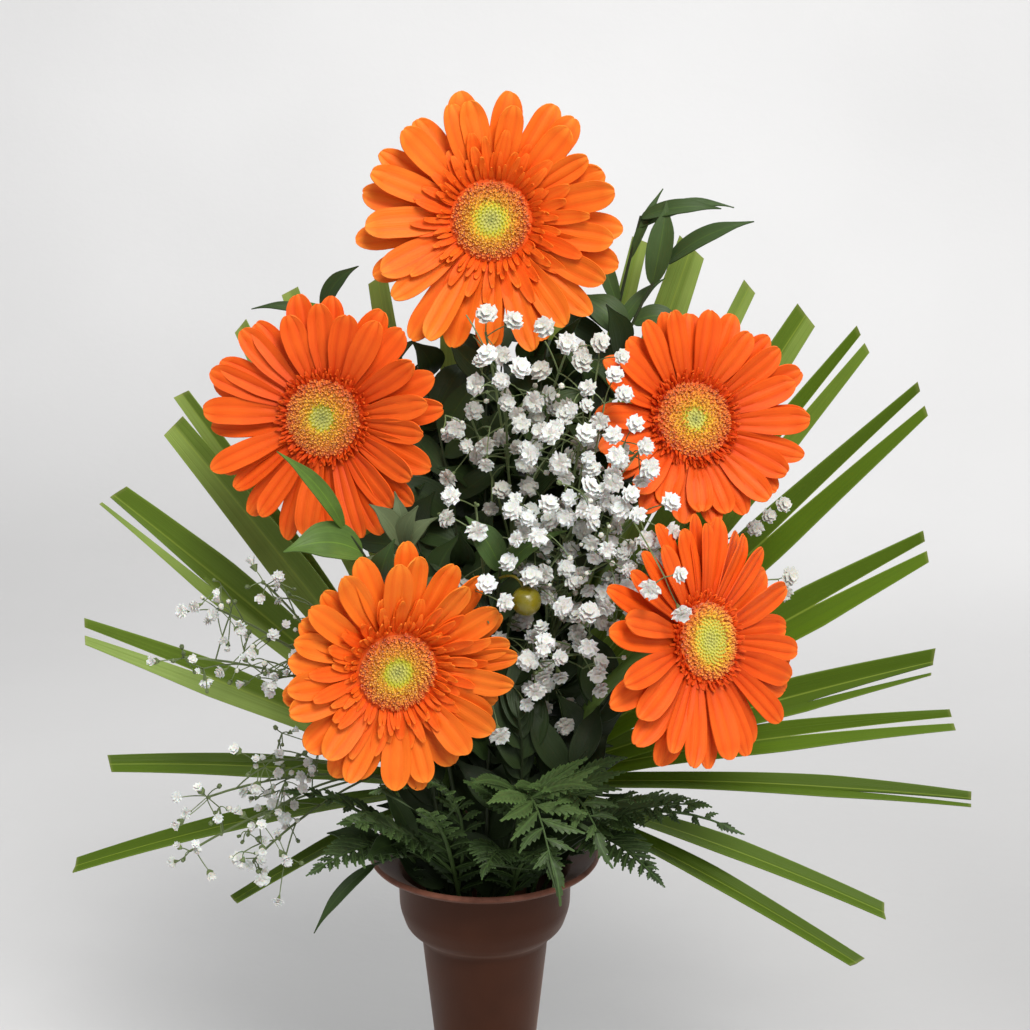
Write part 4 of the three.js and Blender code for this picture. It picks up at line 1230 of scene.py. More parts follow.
def make_gerbera_stem(bloom, seed, settings, material):
    """The stem with its cup of bracts, set with short hairs."""
    form = start_form()
    random = Random(200 + seed)
    seat, face, middle = bloom_seat(bloom)
    g = GERBERA
    name = f"gerbera_{bloom['name']}"
    top = -g["plate"] - 0.4
    for row, (count, reach, half) in enumerate(((13, 7.5, 1.7), (12, 4.5, 1.5))):
        for i in range(count):
            angle = (i + 0.5 * row + random.uniform(-0.1, 0.1)) / count * math.tau
            turn = seat @ Matrix.Rotation(angle, 4, "Z")
            line = [
                (g["cup_radius"] - 4.5, 0, top - 9),
                (g["cup_radius"] + 0.8 + row * 0.4, 0, top - 6),
                (g["cup_radius"] - 0.6 + reach - 2.2 * row, 0, top - 0.8 - 1.4 * row),
            ]

            def shape(u, v, half=half):
                width = half * math.sin(math.pi * min(1, 0.12 + 0.88 * v)) ** 0.8 + 0.05
                return width * u, 0, 0.25 * width * u * u

            up = turn.to_3x3() @ Vector((0.5, 0, -0.9))
            grow_blade(form, [turn @ Vector(p) for p in line], up, shape, 2, 6, random.random())
    thicken(form, 0.6)
    bottom = top - g["cup_depth"]
    outline = [(0, bottom), (g["stem_radius"], bottom), (0.55 * g["cup_radius"], top - 10.6)]
    outline += [(0.8 * g["cup_radius"], top - 7), (g["cup_radius"], top), (0, top)]
    add_turned(form, outline, 24, seat, (0, 0.9, 0.6))
    place = stand_in(g["ring"], bloom["socket"], g["foot_z"])
    end = middle - face * (g["plate"] + g["cup_depth"])
    arc = stem_arc(name + "_stem", place, g["stem_radius"], g["steps"], end, face, bloom["bend"])
    points = stem_points(place[0], arc, 26)
    waist = [0.1 * math.sin(math.pi * i / (len(points) - 1)) for i in range(len(points))]
    radii = [g["stem_radius"] * (1.03 - slim) for slim in waist]
    grow_stem(form, points, radii, 14, random.uniform(0.1, 0.5))
    set_hairs(form, arc, g["stem_radius"], 420, 1.3, random)
    return finish_piece(form, name + "_stalk", [material], [name + "_stem"], sharp=60)


def set_hairs(form, arc, radius, count, length, random):
    """Short soft hairs that stand out from the upper part of a stem."""
    hair = bmesh.ops.create_cone(
        form, segments=3, radius1=0.07, radius2=0.0, depth=length
    )["verts"]
    source = geometry_of(hair)
    for _ in range(count):
        t = random.uniform(0.25, 0.99)
        at, way = bezier(arc, t), bezier_way(arc, t)
        out = way.orthogonal().normalized()
        out.rotate(Matrix.Rotation(random.uniform(0, math.tau), 3, way))
        lean = (out + way * random.uniform(0.1, 0.7)).normalized()
        matrix = Matrix.Translation(at + out * radius * 0.93 + lean * length * 0.4)
        copy_form(form, source, matrix @ lean.to_track_quat("Z", "X").to_matrix().to_4x4(), 0.9)
    bmesh.ops.delete(form, geom=hair, context="VERTS")


# ---------------------------------------------------------------- palm leaves


def palm_material(settings):
    """A palm segment: a yellow rib, fine veins along it, and a dry edge at its cut."""
    material, tree, shader = start_material("palm leaf", **{"Specular IOR Level": 0.16})
    across, along, tone = blade_parts(tree)
    veins = effect(tree, "blade veins", Lines=16.0, Runs=2.0)
    blotch = effect(tree, "mottle", Scale=22.0, Detail=3.0)
    green = tuple(settings.green)
    lit = (green[0] * 4.3, green[1] * 3.3, green[2] * 30)
    # The tone is painted light and shade, from shaded green to the lit yellow-green.
    base = ramp(tree, tone, [(0.0, scaled(green, 0.7)), (0.6, scaled(green, 1.15)), (1.0, lit)])
    base = mix(tree, between(tree, blotch, 0.0, 0.4), base, scaled(green, 0.6))
    base = mix(tree, between(tree, veins, 0.0, 0.6), base, scaled(green, 0.5))
    base = mix(tree, centre_line(tree, across, 0.07, 0.5), base, tuple(settings.rib))
    base = mix(tree, side_edges(tree, across, 0.9, 0.3), base, (0.24, 0.34, 0.05))
    base = mix(tree, between(tree, along, 0.0, 0.3, 0.992), base, (0.3, 0.3, 0.1))
    finish_surface(tree, shader, base, between(tree, veins, 0.36, 0.55), veins, 0.0003, 0.6)
    return material


def grow_segment(form, hub, row, fold, random):
    """One folded segment from the hub to its straight cut, parted where it is split."""
    layer = form.verts.layers.float_vector[BLADE]
    tip, width, split, look_up = row
    broad = tip in PALM_WHOLE
    split = 0 if broad else split * SPLIT_SHOWN
    off_centre = PALM_SEAMS.get(tip, 0)
    end = Vector(tip)
    up = Vector((0, look_up - 1, look_up)).normalized()
    start = hub + (end - hub).normalized() * PALM["root"]
    arch = 0.06 * (end - start).length * (0.3 + look_up)
    line = [start, start.lerp(end, 0.45) + Vector((0, 0, arch)), end]
    half = width / 2
    # The tone is painted light: segments high in the bunch, and the left leaf's upper ones, are
    # painted lighter; the rest differs at random.
    tone = random.uniform(0.0, 0.3) + 0.75 * smooth(end.z, 380, 425)
    if end.x < 0 and end.z > 250:
        tone += 0.45
    verts = lay_grid(form, 8, 28, tone)
    faces = faces_of(verts)
    if split:
        seam = {edge for vert in verts for edge in vert.link_edges}
        for edge in list(seam):
            ends = [vert[layer] for vert in edge.verts]
            on_line = all(abs(u - off_centre) < 1e-4 for u, _, _ in ends)
            if not on_line or max(v for _, v, _ in ends) <= 1 - split + 1e-4:
                seam.remove(edge)
        bmesh.ops.split_edges(form, edges=list(seam))
        verts = list({v for face in faces for v in face.verts})
    skew = random.uniform(-0.5, 0.5)
    wave, phase = random.uniform(0.1, 0.4), random.uniform(0, math.tau)
    sides = {}
    for vert in verts:
        around = [w[layer][0] - off_centre for f in vert.link_faces for w in f.verts]
        sides[vert] = 1 if sum(around) > 0 else -1
    lit = 1 if end.x > hub.x else -1

    def half_at(v):
        if v < 0.3:
            return 0.9 + (half * 0.86 - 0.9) * smooth(v, 0, 0.3) ** 0.8
        full = 1 - split if split else 0.62
        if v < full:
            return half * (0.86 + 0.3 * smooth(v, 0.3, full))
        return half * (1.16 - 0.36 * (v - full) / (1 - full))

    for vert in verts:
        u, v, _ = vert[layer]
        along = bezier_way(line, v)
        side = along.cross(up).normalized()
        wide = half_at(v)
        right, lift = u * wide, fold * wide * abs(u)
        if split and v > 1 - split and abs(u) < 0.999:
            slit = half * (0.34 if width > 17 else 0.24) * (v - 1 + split) / split
            right += sides[vert] * slit * max(0, 1 - abs(u - off_centre) / (1 - abs(off_centre)))
            lift += 0.15 * slit
        if sides[vert] == lit and (not broad or u > 0.4):
            vert[layer] = (u, v, 1.0 if broad else min(1, tone + 0.22))
        lift += wave * math.sin(phase + 9 * v) * u * u
        ahead = -skew * right * smooth(v, 0.93, 1)
        vert.co = bezier(line, v) + side * right + along * ahead + side.cross(along) * lift


def make_palm(leaf, settings, material, seed):
    """A palm leaf: its segments, the hub that they spring from and its stalk."""
    form = start_form()
    random = Random(300 + seed)
    hub = Vector(leaf["hub"])
    for row in leaf["segments"]:
        grow_segment(form, hub, row, settings.fold, random)
    thicken(form, settings.thickness / MM)
    under = [(0, -PALM["hub_thick"] / 2), (3, -2.6), (8, -1.2)]
    outline = under + [(PALM["hub_radius"], 0)] + [(r, -z) for r, z in reversed(under)]
    seat = facing(hub, Vector((0, -1, 0.3)).normalized())
    add_turned(form, outline, 24, seat, (0.5, 0.4, 0.0))
    place = stand_in(PALM["ring"], leaf["socket"], PALM["foot_z"])
    up = (0, 0, 1)
    arc = stem_arc(leaf["name"], place, PALM["petiole"], PALM["steps"], hub, up, PALM["bend"])
    grow_stem(form, stem_points(place[0], arc, 12), PALM["petiole"], 12, 0.4)
    return finish_piece(form, leaf["name"] + "_blades", [material], [leaf["name"]])


# ---------------------------------------------------------------- ferns


def fern_material(settings):
    """A dark green leathery fern leaflet with a paler midrib. Its tone is painted light and shade: a
    low tone darkens the leaflet as shade.
    """
    material, tree, shader = start_material("leather fern", **{"Specular IOR Level": 0.25})
    across, along, tone = blade_parts(tree)
    blotch = effect(tree, "mottle", Scale=130.0, Detail=3.0)
    green = tuple(settings.green)
    lit = (green[0] * 1.8, green[1] * 1.5, green[2] * 1.8)
    base = mix(tree, tone, scaled(green, 0.3), lit)
    base = mix(tree, between(tree, blotch, 0.0, 0.5), base, scaled(green, 0.5))
    base = mix(tree, centre_line(tree, across, 0.2, 0.4), base, scaled(green, 2.2))
    edge = maths(tree, "MULTIPLY", side_edges(tree, across, 0.7, 0.35), tone)
    base = mix(tree, edge, base, scaled(green, 3.0))
    tip = maths(tree, "MULTIPLY", maths(tree, "POWER", along, 3.0), 0.3)
    base = mix(tree, tip, base, scaled(green, 2.0))
    veins = effect(tree, "blade veins", Lines=5.0, Runs=5.0)
    finish_surface(tree, shader, base, between(tree, blotch, 0.4, 0.6), veins, 0.0003, 0.6)
    return material


def leaflet_shape(half, pitch, teeth, random):
    """A long narrow leaflet with teeth that point to its tip. The pitch is a tooth's length."""
    bow = random.uniform(-0.5, 0.5) * half

    def shape(u, v):
        step = v * teeth % 1
        full = half * (0.3 + 0.7 * smooth(v, 0, 0.22)) * (1 - 0.88 * smooth(v, 0.3, 1.05))
        side = abs(u)
        at_edge = side > 0.9
        out = full * u * (0.42 + 0.58 * step**0.7 if at_edge else 0.8)
        ahead = 0.6 * full * side * side + (0.2 * pitch * step if at_edge else 0)
        lift = 0.08 * full * math.sin(math.tau * step) * side - 0.2 * full * side
        return out + bow * math.sin(math.pi * v), ahead, lift

    return shape


def grow_leaflet(form, root, tip, up, teeth, random):
    """One leaflet, arched a little, that faces the front. Gives the line of its midrib."""
    length = (tip - root).length
    line = [root, root.lerp(tip, 0.5) + up * random.uniform(0.06, 0.16) * length, tip]
    face = (up + Vector((0, -0.6, 0.1))).normalized()
    shape = leaflet_shape(0.13 * length + 0.9, length / teeth, teeth, random)
    # Painted shade: leaflets low in the bunch get a low tone, which darkens them.
    tone = random.uniform(0.1, 0.9) * smooth(tip.z, *FERN_LIGHT)
    grow_blade(form, line, face, shape, 4, 4 * teeth, tone)
    return line


def grow_frond(form, arc, first, width, up, lean_at, settings, random):
    """Leaflets along a stalk, shorter towards its tip. Gives the lines of their midribs."""
    lines = []
    count = 2 * (settings.pairs if width < BROAD_FROND else settings.pairs - 2)
    for k in range(count):
        share = first + (0.96 - first) * k / count
        along = bezier_way(arc, share)
        side = along.cross(up).normalized() * (1 if k % 2 else -1)
        shorter = min(1, 1 - 0.75 * (share - LEAFLETS_FROM) / LEAFLETS_SPAN)
        length = width / 2 * shorter * random.uniform(0.92, 1.06)
        lean = lean_at(k, share) + random.uniform(-0.1, 0.06)
        out = (side + along * 0.9 + up * lean).normalized()
        root = bezier(arc, share)
        teeth = max(4, round(settings.teeth * length / 20))
        lines.append(grow_leaflet(form, root, root + out * length, up, teeth, random))
    end = bezier(arc, 0.93)
    grow_leaflet(form, end, end + bezier_way(arc, 0.97) * width * 0.28, up, 5, random)
    return lines


def fern_leans(fern, arc, up):
    """How far each of the solid's leaflets leans, in order along the frond."""
    leans = []
    pairs, width = FERN["pairs"], fern["width"]
    for i in range(2 * pairs):
        share = LEAFLETS_FROM + LEAFLETS_SPAN * i / (2 * pairs)
        along = bezier_way(arc, share)
        side = along.cross(up) * (1 if i % 2 else -1)
        length = width / 2 * (1 - 0.35 * i / pairs)
        found = 0.0
        for lean in (0, 0.3, -0.3, 0.6, -0.6):
            out = (side.normalized() + along * 0.6 + up * lean).normalized()
            if off_corner(fern["name"], bezier(arc, share) + out * length) < 0.1:
                found = lean
                break
        leans.append(found)
    return leans


def make_fern(fern, seed, settings, material):
    """A fern: its main frond, and the side fronds that it has."""
    form = start_form()
    random = Random(400 + seed)
    tip, over = Vector(fern["tip"]), Vector(fern["over"])
    way = tip - over
    place = stand_in(FERN["ring"], fern["socket"], FERN["foot_z"])
    bend = (FERN["rise"], way.length)
    arc = stem_arc(fern["name"], place, FERN["stalk"], FERN["steps"], tip, way, bend)
    up = Vector((0, -0.25, 1)).normalized()
    leans = fern_leans(fern, arc, up)

    def lean_at(k, share):
        """The lean of the solid's nearest leaflet on the same side."""
        place_in = min(max((share - LEAFLETS_FROM) / LEAFLETS_SPAN, 0), 1) * (len(leans) - 1)
        near = [i for i in range(len(leans)) if i % 2 == k % 2]
        return leans[min(near, key=lambda i: abs(i - place_in))]

    ribs = grow_frond(form, arc, 0.3, fern["width"], up, lean_at, settings, random)
    side_arcs = []
    for start, side_tip, side_over, width, lean in SIDE_FRONDS.get(fern["name"], ()):
        side_arc = [bezier(arc, start), Vector(side_over), Vector(side_tip)]
        ribs += grow_frond(
            form, side_arc, 0.25, width, up, lambda k, share: lean, settings, random
        )
        side_arcs.append(side_arc)
    thicken(form, 0.3)
    for line in ribs:
        grow_stem(form, trace(line, 4), [0.3, 0.28, 0.24, 0.2, 0.12], 4, 0.8)
    for side_arc in side_arcs:
        grow_stem(form, trace(side_arc, 12), [0.8 - 0.04 * i for i in range(13)], 6, 0.6)
    points = stem_points(place[0], arc, 22)
    radii = [FERN["stalk"] * (1 - 0.7 * (i / (len(points) - 1)) ** 3) for i in range(len(points))]
    grow_stem(form, points, radii, 8, 0.6)
    return finish_piece(form, fern["name"] + "_frond", [material], [fern["name"]])


# ---------------------------------------------------------------- leafy stems, sprig and berry


def leaf_material(name, tint, rough_low, light):
    """A smooth leaf with fine veins along it. Its tone is painted light and shade: a low tone
    darkens it as shade, and a high tone turns it to the light colour.
    """
    material, tree, shader = start_material(name, **{"Specular IOR Level": 0.2})
    across, _, tone = blade_parts(tree)
    veins = effect(tree, "blade veins", Lines=11.0, Runs=1.0)
    blotch = effect(tree, "mottle", Scale=60.0, Detail=3.0)
    stops = [(0.0, scaled(tint, 0.22)), (0.3, tint), (0.5, scaled(tint, 1.8)), (1.0, light)]
    base = ramp(tree, tone, stops)
    base = mix(tree, between(tree, blotch, 0.0, 0.5), base, scaled(tint, 0.6))
    base = mix(tree, between(tree, veins, 0.0, 0.5), base, scaled(tint, 0.55))
    rib = maths(tree, "MULTIPLY", centre_line(tree, across, 0.06, 0.5), tone, clamp=True)
    base = mix(tree, rib, base, light)
    rough = between(tree, veins, rough_low, rough_low + 0.18)
    finish_surface(tree, shader, base, rough, veins, 0.00035, 0.6)
    return material


def leaf_shape(half, fold, random):
    """A leaf that is widest before its middle, with a long tip that curves aside and down."""
    sweep = random.uniform(-0.3, 0.3)
    hang = random.uniform(0.0, 0.5)
    wave, phase = random.uniform(0.0, 0.3), random.uniform(0, math.tau)

    def shape(u, v):
        width = half * (0.04 + 0.96 * max(0, math.sin(math.pi * v**0.78)) ** 0.8)
        width *= 1 - 0.6 * smooth(v, 0.6, 0.97)
        lift = fold * width * abs(u) ** 1.3 + wave * math.sin(phase + 7 * v) * u
        lift += hang * half * math.sin(math.pi * v)
        return width * u + sweep * half * math.sin(math.pi * v), 0, lift

    return shape


def leaf_turns(stem, arc):
    """Each leaf's root and tip, turned about the stem as the solid's leaf is."""
    found = []
    for share, reach, width in stem["leaves"]:
        way_there = bezier_way(arc, share)
        root = bezier(arc, share) - (way_there if share == 1 else Vector())
        for angle in (0, 0.2, -0.2, 0.4, -0.4, 0.7, -0.7, 1, -1, 1.4, -1.4):
            tip = Matrix.Rotation(angle, 3, way_there) @ Vector(reach) + root
            if off_corner(stem["name"], tip) < 0.15:
                found.append((share, root, tip, Vector(reach), width))
                break
    return found


def deep_leaves(arc, count, random):
    """Leaves low on a stem, inside the bunch and clear of the blooms: [(root, tip, width)]."""
    found = []
    for k in range(count):
        share = 0.05 + 0.9 * k / count
        root, way = bezier(arc, share), bezier_way(arc, share)
        for _ in range(16):
            turn = Matrix.Rotation(random.uniform(0, math.tau), 3, way)
            out = turn @ way.orthogonal().normalized() + way * random.uniform(0.3, 1.1)
            tip = root + out.normalized() * random.uniform(22, 38)
            half_way = root.lerp(tip, 0.5)
            behind = tip.y > PALM_FRONT + PALM_LEAN * (tip.z - PALM_HUB_Z)
            if behind or any(is_in_bloom(p, 3) for p in (tip, half_way, root)):
                continue
            off = [(at - c) / half for at, c, half in zip(tip, BUNCH_MIDDLE, BUNCH_HALF)]
            if Vector(off).length < 1 and tip.z > VASE["rim_z"] + 4:
                found.append((root, tip, random.uniform(10, 15)))
                break
    return found


def leafy_arc(stem):
    """The place that a leafy stem stands in, and its arc."""
    place = stand_in(LEAFY["ring"], stem["socket"], LEAFY["foot_z"])
    steps, end, along = stem.get("steps", LEAFY["steps"]), stem["end"], stem["along"]
    return place, stem_arc(stem["name"], place, LEAFY["stem"], steps, end, along, stem["bend"])


@lru_cache(maxsize=None)
def middle_stem():
    """The leafy stem that carries the berry and the two leaves in front of the florets."""
    return next(stem for stem in LEAFY_STEMS if stem["name"] == "ruscus_middle")


def look_up_across(way):
    """The way up from a leaf's face: to the front and up, square to the leaf's own way."""
    up_most = Vector((0, -0.75, 0.65))
    return (up_most - up_most.project(way)).normalized()


def make_leafy(stem, seed, settings, material, bark, deep):
    """A leafy stem: its own leaves, the leaves inside the bunch, and its shoots."""
    form = start_form()
    random = Random(500 + seed)
    place, arc = leafy_arc(stem)
    for i, (_, root, tip, reach, width) in enumerate(leaf_turns(stem, arc)):
        length = (tip - root).length
        up = look_up_across(reach)
        aside = (tip - root).cross(up).normalized() * random.uniform(-0.1, 0.1) * length
        middle = root.lerp(tip, 0.5) + up * random.uniform(0.12, 0.22) * length + aside
        middle.z += 0.08 * length
        # Painted light: leaves high in the bunch get a higher tone.
        tone = random.uniform(0.15, 0.34) + 0.14 * smooth(tip.z, 360, 440)
        tone = LIGHT_LEAVES.get((stem["name"], i), tone)
        slender = 0.78 if tip.z > 400 or tip.z < 180 else 1.0
        shape = leaf_shape(width / 2 * slender, 0.3, random)
        grow_blade(form, [root, middle, tip], up, shape, 8, 18, tone)
    shoots = [
        [bezier(arc, start), Vector(by), Vector(end)]
        for start, by, end in SHOOTS.get(stem["name"], ())
    ]
    inside = deep_leaves(arc, deep, random)
    for line in shoots:
        inside += deep_leaves(line, settings.shoot_leaves, random)
    for root, tip, width in inside:
        up = look_up_across(tip - root)
        middle = root.lerp(tip, 0.5) + up * random.uniform(0.02, 0.16) * (tip - root).length
        shape = leaf_shape(width / 2, 0.25, random)
        # Painted shade: deep leaves low in the bunch get a low tone, which darkens them.
        tone = random.uniform(0.0, 0.4) * smooth(tip.z, 230, 350)
        grow_blade(form, [root, middle, tip], up, shape, 6, 12, tone)
    thicken(form, settings.thickness / MM)
    for line in shoots:
        grow_stem(form, trace(line, 10), [0.8 - 0.04 * i for i in range(11)], 6, 0.1, 1)
    points = stem_points(place[0], arc, 24)
    slim = [0.45 * (i / (len(points) - 1)) ** 2 for i in range(len(points))]
    grow_stem(form, points, [LEAFY["stem"] * (0.95 - by) for by in slim], 8, 0.1, 1)
    return finish_piece(form, stem["name"] + "_leaves", [material, bark], [stem["name"]])


@lru_cache(maxsize=None)
def berry_places():
    """Where the berry's stalk starts, beside the middle stem, and the middle of the berry."""
    beside = Vector((0, -(LEAFY["stem"] + BERRY["stalk"] + BERRY["gap"]), 0))
    start = bezier(leafy_arc(middle_stem())[1], BERRY["grows"]) + beside
    return start, start + Vector(BERRY["hangs"])


def make_berry(settings):
    """The berry hangs on its stalk beside the middle stem, with a small dried tip."""
    coat = {"Coat Weight": 0.12, "Coat Roughness": 0.25}
    material, tree, shader = start_material("berry skin", **coat)
    spots = effect(tree, "mottle", Scale=420.0, Detail=3.0)
    blotch = effect(tree, "mottle", Scale=110.0, Detail=2.0)
    tint = tuple(settings.berry)
    base = mix(tree, blotch, scaled(tint, 0.8), (tint[0] * 1.6, tint[1] * 1.35, tint[2] * 1.3))
    base = mix(tree, maths(tree, "MULTIPLY", spots, 0.3), base, scaled(tint, 0.5))
    finish_surface(tree, shader, base, between(tree, spots, 0.22, 0.4), spots, 0.0002, 0.3)
    form = start_form()
    start, centre = berry_places()
    line = [start, start + Vector(BERRY["bow"]), centre]
    radius = BERRY["radius"]
    ball = bmesh.ops.create_uvsphere(form, u_segments=28, v_segments=18, radius=radius)["verts"]
    for vert in ball:
        pole = abs(vert.co.z) / radius
        dimple = 0.5 * math.exp(-(((1 - pole) / 0.03) ** 2))
        vert.co *= 1 + 0.02 * noise.noise(vert.co * 0.25)
        vert.co.z -= math.copysign(dimple, vert.co.z)
    tipped = Matrix.Translation(centre) @ Matrix.Rotation(0.5, 4, "X")
    bmesh.ops.transform(form, matrix=tipped, verts=ball)
    grow_stem(form, [bezier(line, i / 12) for i in range(11)], BERRY["stalk"], 8, 0.4)
    return finish_piece(form, "ruscus_berry_ripe", [material], ["ruscus_berry"], sharp=80)


# ---------------------------------------------------------------- baby's breath


def floret_material(settings):
    """Papery white petals, greener at their middles with painted shade in their folds. A high tone
    paints shade on florets deep in the spray.
    """
    material, tree, shader = start_material(
        "white florets",
        **{"Subsurface Weight": 0.2, "Subsurface Scale": 0.003, "Specular IOR Level": 0.25},
    )
    rim, _, tone = blade_parts(tree)
    white = tuple(settings.white)
    base = ramp(tree, rim, [(0.0, (0.6, 0.64, 0.4)), (0.5, scaled(white, 0.92)), (0.75, white)])
    # A high tone darkens a floret: painted shade.
    base = mix(tree, maths(tree, "MULTIPLY", tone, 0.7), base, (0.4, 0.37, 0.29))
    grain = effect(tree, "mottle", Scale=700.0, Detail=3.0)
    finish_surface(tree, shader, base, between(tree, grain, 0.6, 0.85), grain, 0.0004, 0.6)
    return material


# A floret's rim, out and up: a gap, then a petal with a notched end.
RIM = ((0.74, -0.12), (1.0, 0.1), (0.92, 0.0), (1.02, 0.07))


def add_ruffle(form, petals, radius, height, deep, cup, turn, random):
    """One whorl of a floret: a shallow closed form with a rim of round notched petals."""
    layer = form.verts.layers.float_vector[BLADE]
    sides = petals * len(RIM)
    verts = bmesh.ops.create_cone(
        form, cap_ends=True, cap_tris=True, segments=sides, radius1=radius, radius2=0.0, depth=deep
    )["verts"]
    for vert in verts:
        if vert.co.xy.length < 0.01:
            top = vert.co.z > 0
            vert.co.z = height - 0.1 * radius if top else height - deep
            vert[layer] = (0.15 if top else 0.0, 0, 0)
        else:
            k = round(math.atan2(vert.co.y, vert.co.x) / (math.tau / sides)) % len(RIM)
            out, lift = RIM[k]
            out *= random.uniform(0.9, 1.08)
            lift = lift * radius + cup + random.uniform(-0.06, 0.06)
            vert.co = Vector((vert.co.x * out, vert.co.y * out, height + lift))
            vert[layer] = (out, 0, 0)
    bmesh.ops.rotate(form, cent=(0, 0, 0), matrix=Matrix.Rotation(turn, 3, "Z"), verts=verts)
    return verts


def floret_sources(form):
    """The small forms that the sprays repeat: double florets, a half-open one, buds, a calyx."""
    layer = form.verts.layers.float_vector[BLADE]
    random = Random(11)
    sources = {}
    for name in ("double", "double_turned"):
        verts = add_ruffle(form, 5, 1.0, 0.0, 0.5, -0.12, 0.0, random)
        turn = 0.5 if name == "double" else 1.1
        verts += add_ruffle(form, 4, 0.82, 0.24, 0.4, 0.02, turn, random)
        verts += add_ruffle(form, 3, 0.52, 0.46, 0.4, 0.12, 0.9, random)
        sources[name] = geometry_of(verts)
    half_open = add_ruffle(form, 4, 0.72, 0.3, 1.0, 0.25, 0.0, random)
    half_open += add_ruffle(form, 3, 0.42, 0.62, 0.6, 0.1, 0.5, random)
    sources["half_open"] = geometry_of(half_open)
    bud = bmesh.ops.create_icosphere(form, subdivisions=1, radius=1)["verts"]
    for vert in bud:
        vert[layer] = (0.35, 0, 0)
    sources["bud"] = geometry_of(bud)
    green_bud = bmesh.ops.create_icosphere(form, subdivisions=1, radius=1)["verts"]
    for face in faces_of(green_bud):
        face.material_index = 1
    sources["green_bud"] = geometry_of(green_bud)
    calyx = bmesh.ops.create_cone(
        form, cap_ends=True, segments=6, radius1=0.25, radius2=1.0, depth=1.0
    )["verts"]
    bmesh.ops.translate(form, vec=(0, 0, -0.5), verts=calyx)
    for face in faces_of(calyx):
        face.material_index = 1
    sources["calyx"] = geometry_of(calyx)
    return sources


def is_in_bloom(point, margin):
    """True where a point is in among a bloom's petals or just behind them."""
    for bloom in BLOOMS:
        face = Vector(bloom["face"]).normalized()
        away = point - Vector(bloom["at"])
        depth = away.dot(face)
        if -16 < depth < 6 + margin and (away - face * depth).length < bloom["radius"] + margin:
            return True
    return False


@lru_cache(maxsize=None)
def front_leaves():
    """Points along the middles of the two leaves that show in front of the florets."""
    leaves = leaf_turns(middle_stem(), leafy_arc(middle_stem())[1])
    return [leaves[i][1].lerp(leaves[i][2], k / 6) for i in FRONT_LEAVES for k in range(7)]


def hides_something(point, margin):
    """True where a floret would hide the berry, a front leaf or the petals of a double bloom."""
    for at in front_leaves():
        if point.y < at.y + 3 and math.hypot(point.x - at.x, point.z - at.z) < 4.5 + margin:
            return True
    away = point - berry_places()[1]
    if away.y < 4 and Vector((away.x, 0, away.z)).length < BERRY["radius"] + margin:
        return True
    for bloom in BLOOMS:
        away = point - Vector(bloom["at"])
        off = Vector((away.x, 0, away.z)).length
        if bloom["double"] and away.y < 0 and off < 0.9 * bloom["radius"] + margin:
            return True
    return False


def spray_branches(spray):
    """The solid's branches and florets, from the same draws: [(line, join, [places])]."""
    random = seeded(spray["seed"])
    name = spray["name"]
    field, half, count = Vector(spray["field"]), spray["half"], spray["branches"]
    place = stand_in(spray["ring"], spray["socket"], BREATH["foot_z"])
    fork = Vector(spray["fork"])
    arc = stem_arc(name, place, BREATH["stem"], BREATH["steps"], fork, field - fork, BREATH["bend"])
    ends = []
    for i in range(count):
        angle = i * BRANCH_TURN + 0.5 * random()
        reach = math.sqrt((i + 0.4) / count)
        depth = half[1] * (1.6 * random() - 0.8) - 6 * (1 - reach)
        right, above = half[0] * math.cos(angle), half[2] * math.sin(angle)
        ends.append(field + Vector((reach * right, depth, reach * above)))
    branches = []
    for end in ends:
        root = bezier(arc, 0.8 + 0.19 * random())
        lines = []
        for swing in (0, 12, -12, 24, -24, 40):
            bow = root.lerp(end, 0.5) + Vector((swing, swing * 0.4, 8))
            line = [root, bow, end]
            middle = even_points(root, line, 2)[1]
            lines.append((abs(off_corner(name, middle) - BREATH["branch"]), line))
        off, line = min(lines, key=lambda pair: pair[0])
        if off > 0.1:
            continue
        join = bezier(line, 1).lerp(bezier(line, 0.5), 0.05)
        places = []
        for _ in range(spray["florets"]):
            draws = []
            for _ in range(FLORET["draws"]):
                right, forward, above = random() - 0.5, random() - 0.5, random() - 0.5
                shift = Vector((right, 0.3 * forward, above)) * FLORET["spread"]
                draws.append(end + shift - Vector((0, FLORET["ahead"], 0)))
            for at in draws:
                face = (at - join + Vector((0, -7, 4))).normalized()
                if off_corner(name, at + face * FLORET["rise"]) < 0.1:
                    places.append((at, face))
                    break
        branches.append((line, join, places))
    return place, arc, branches


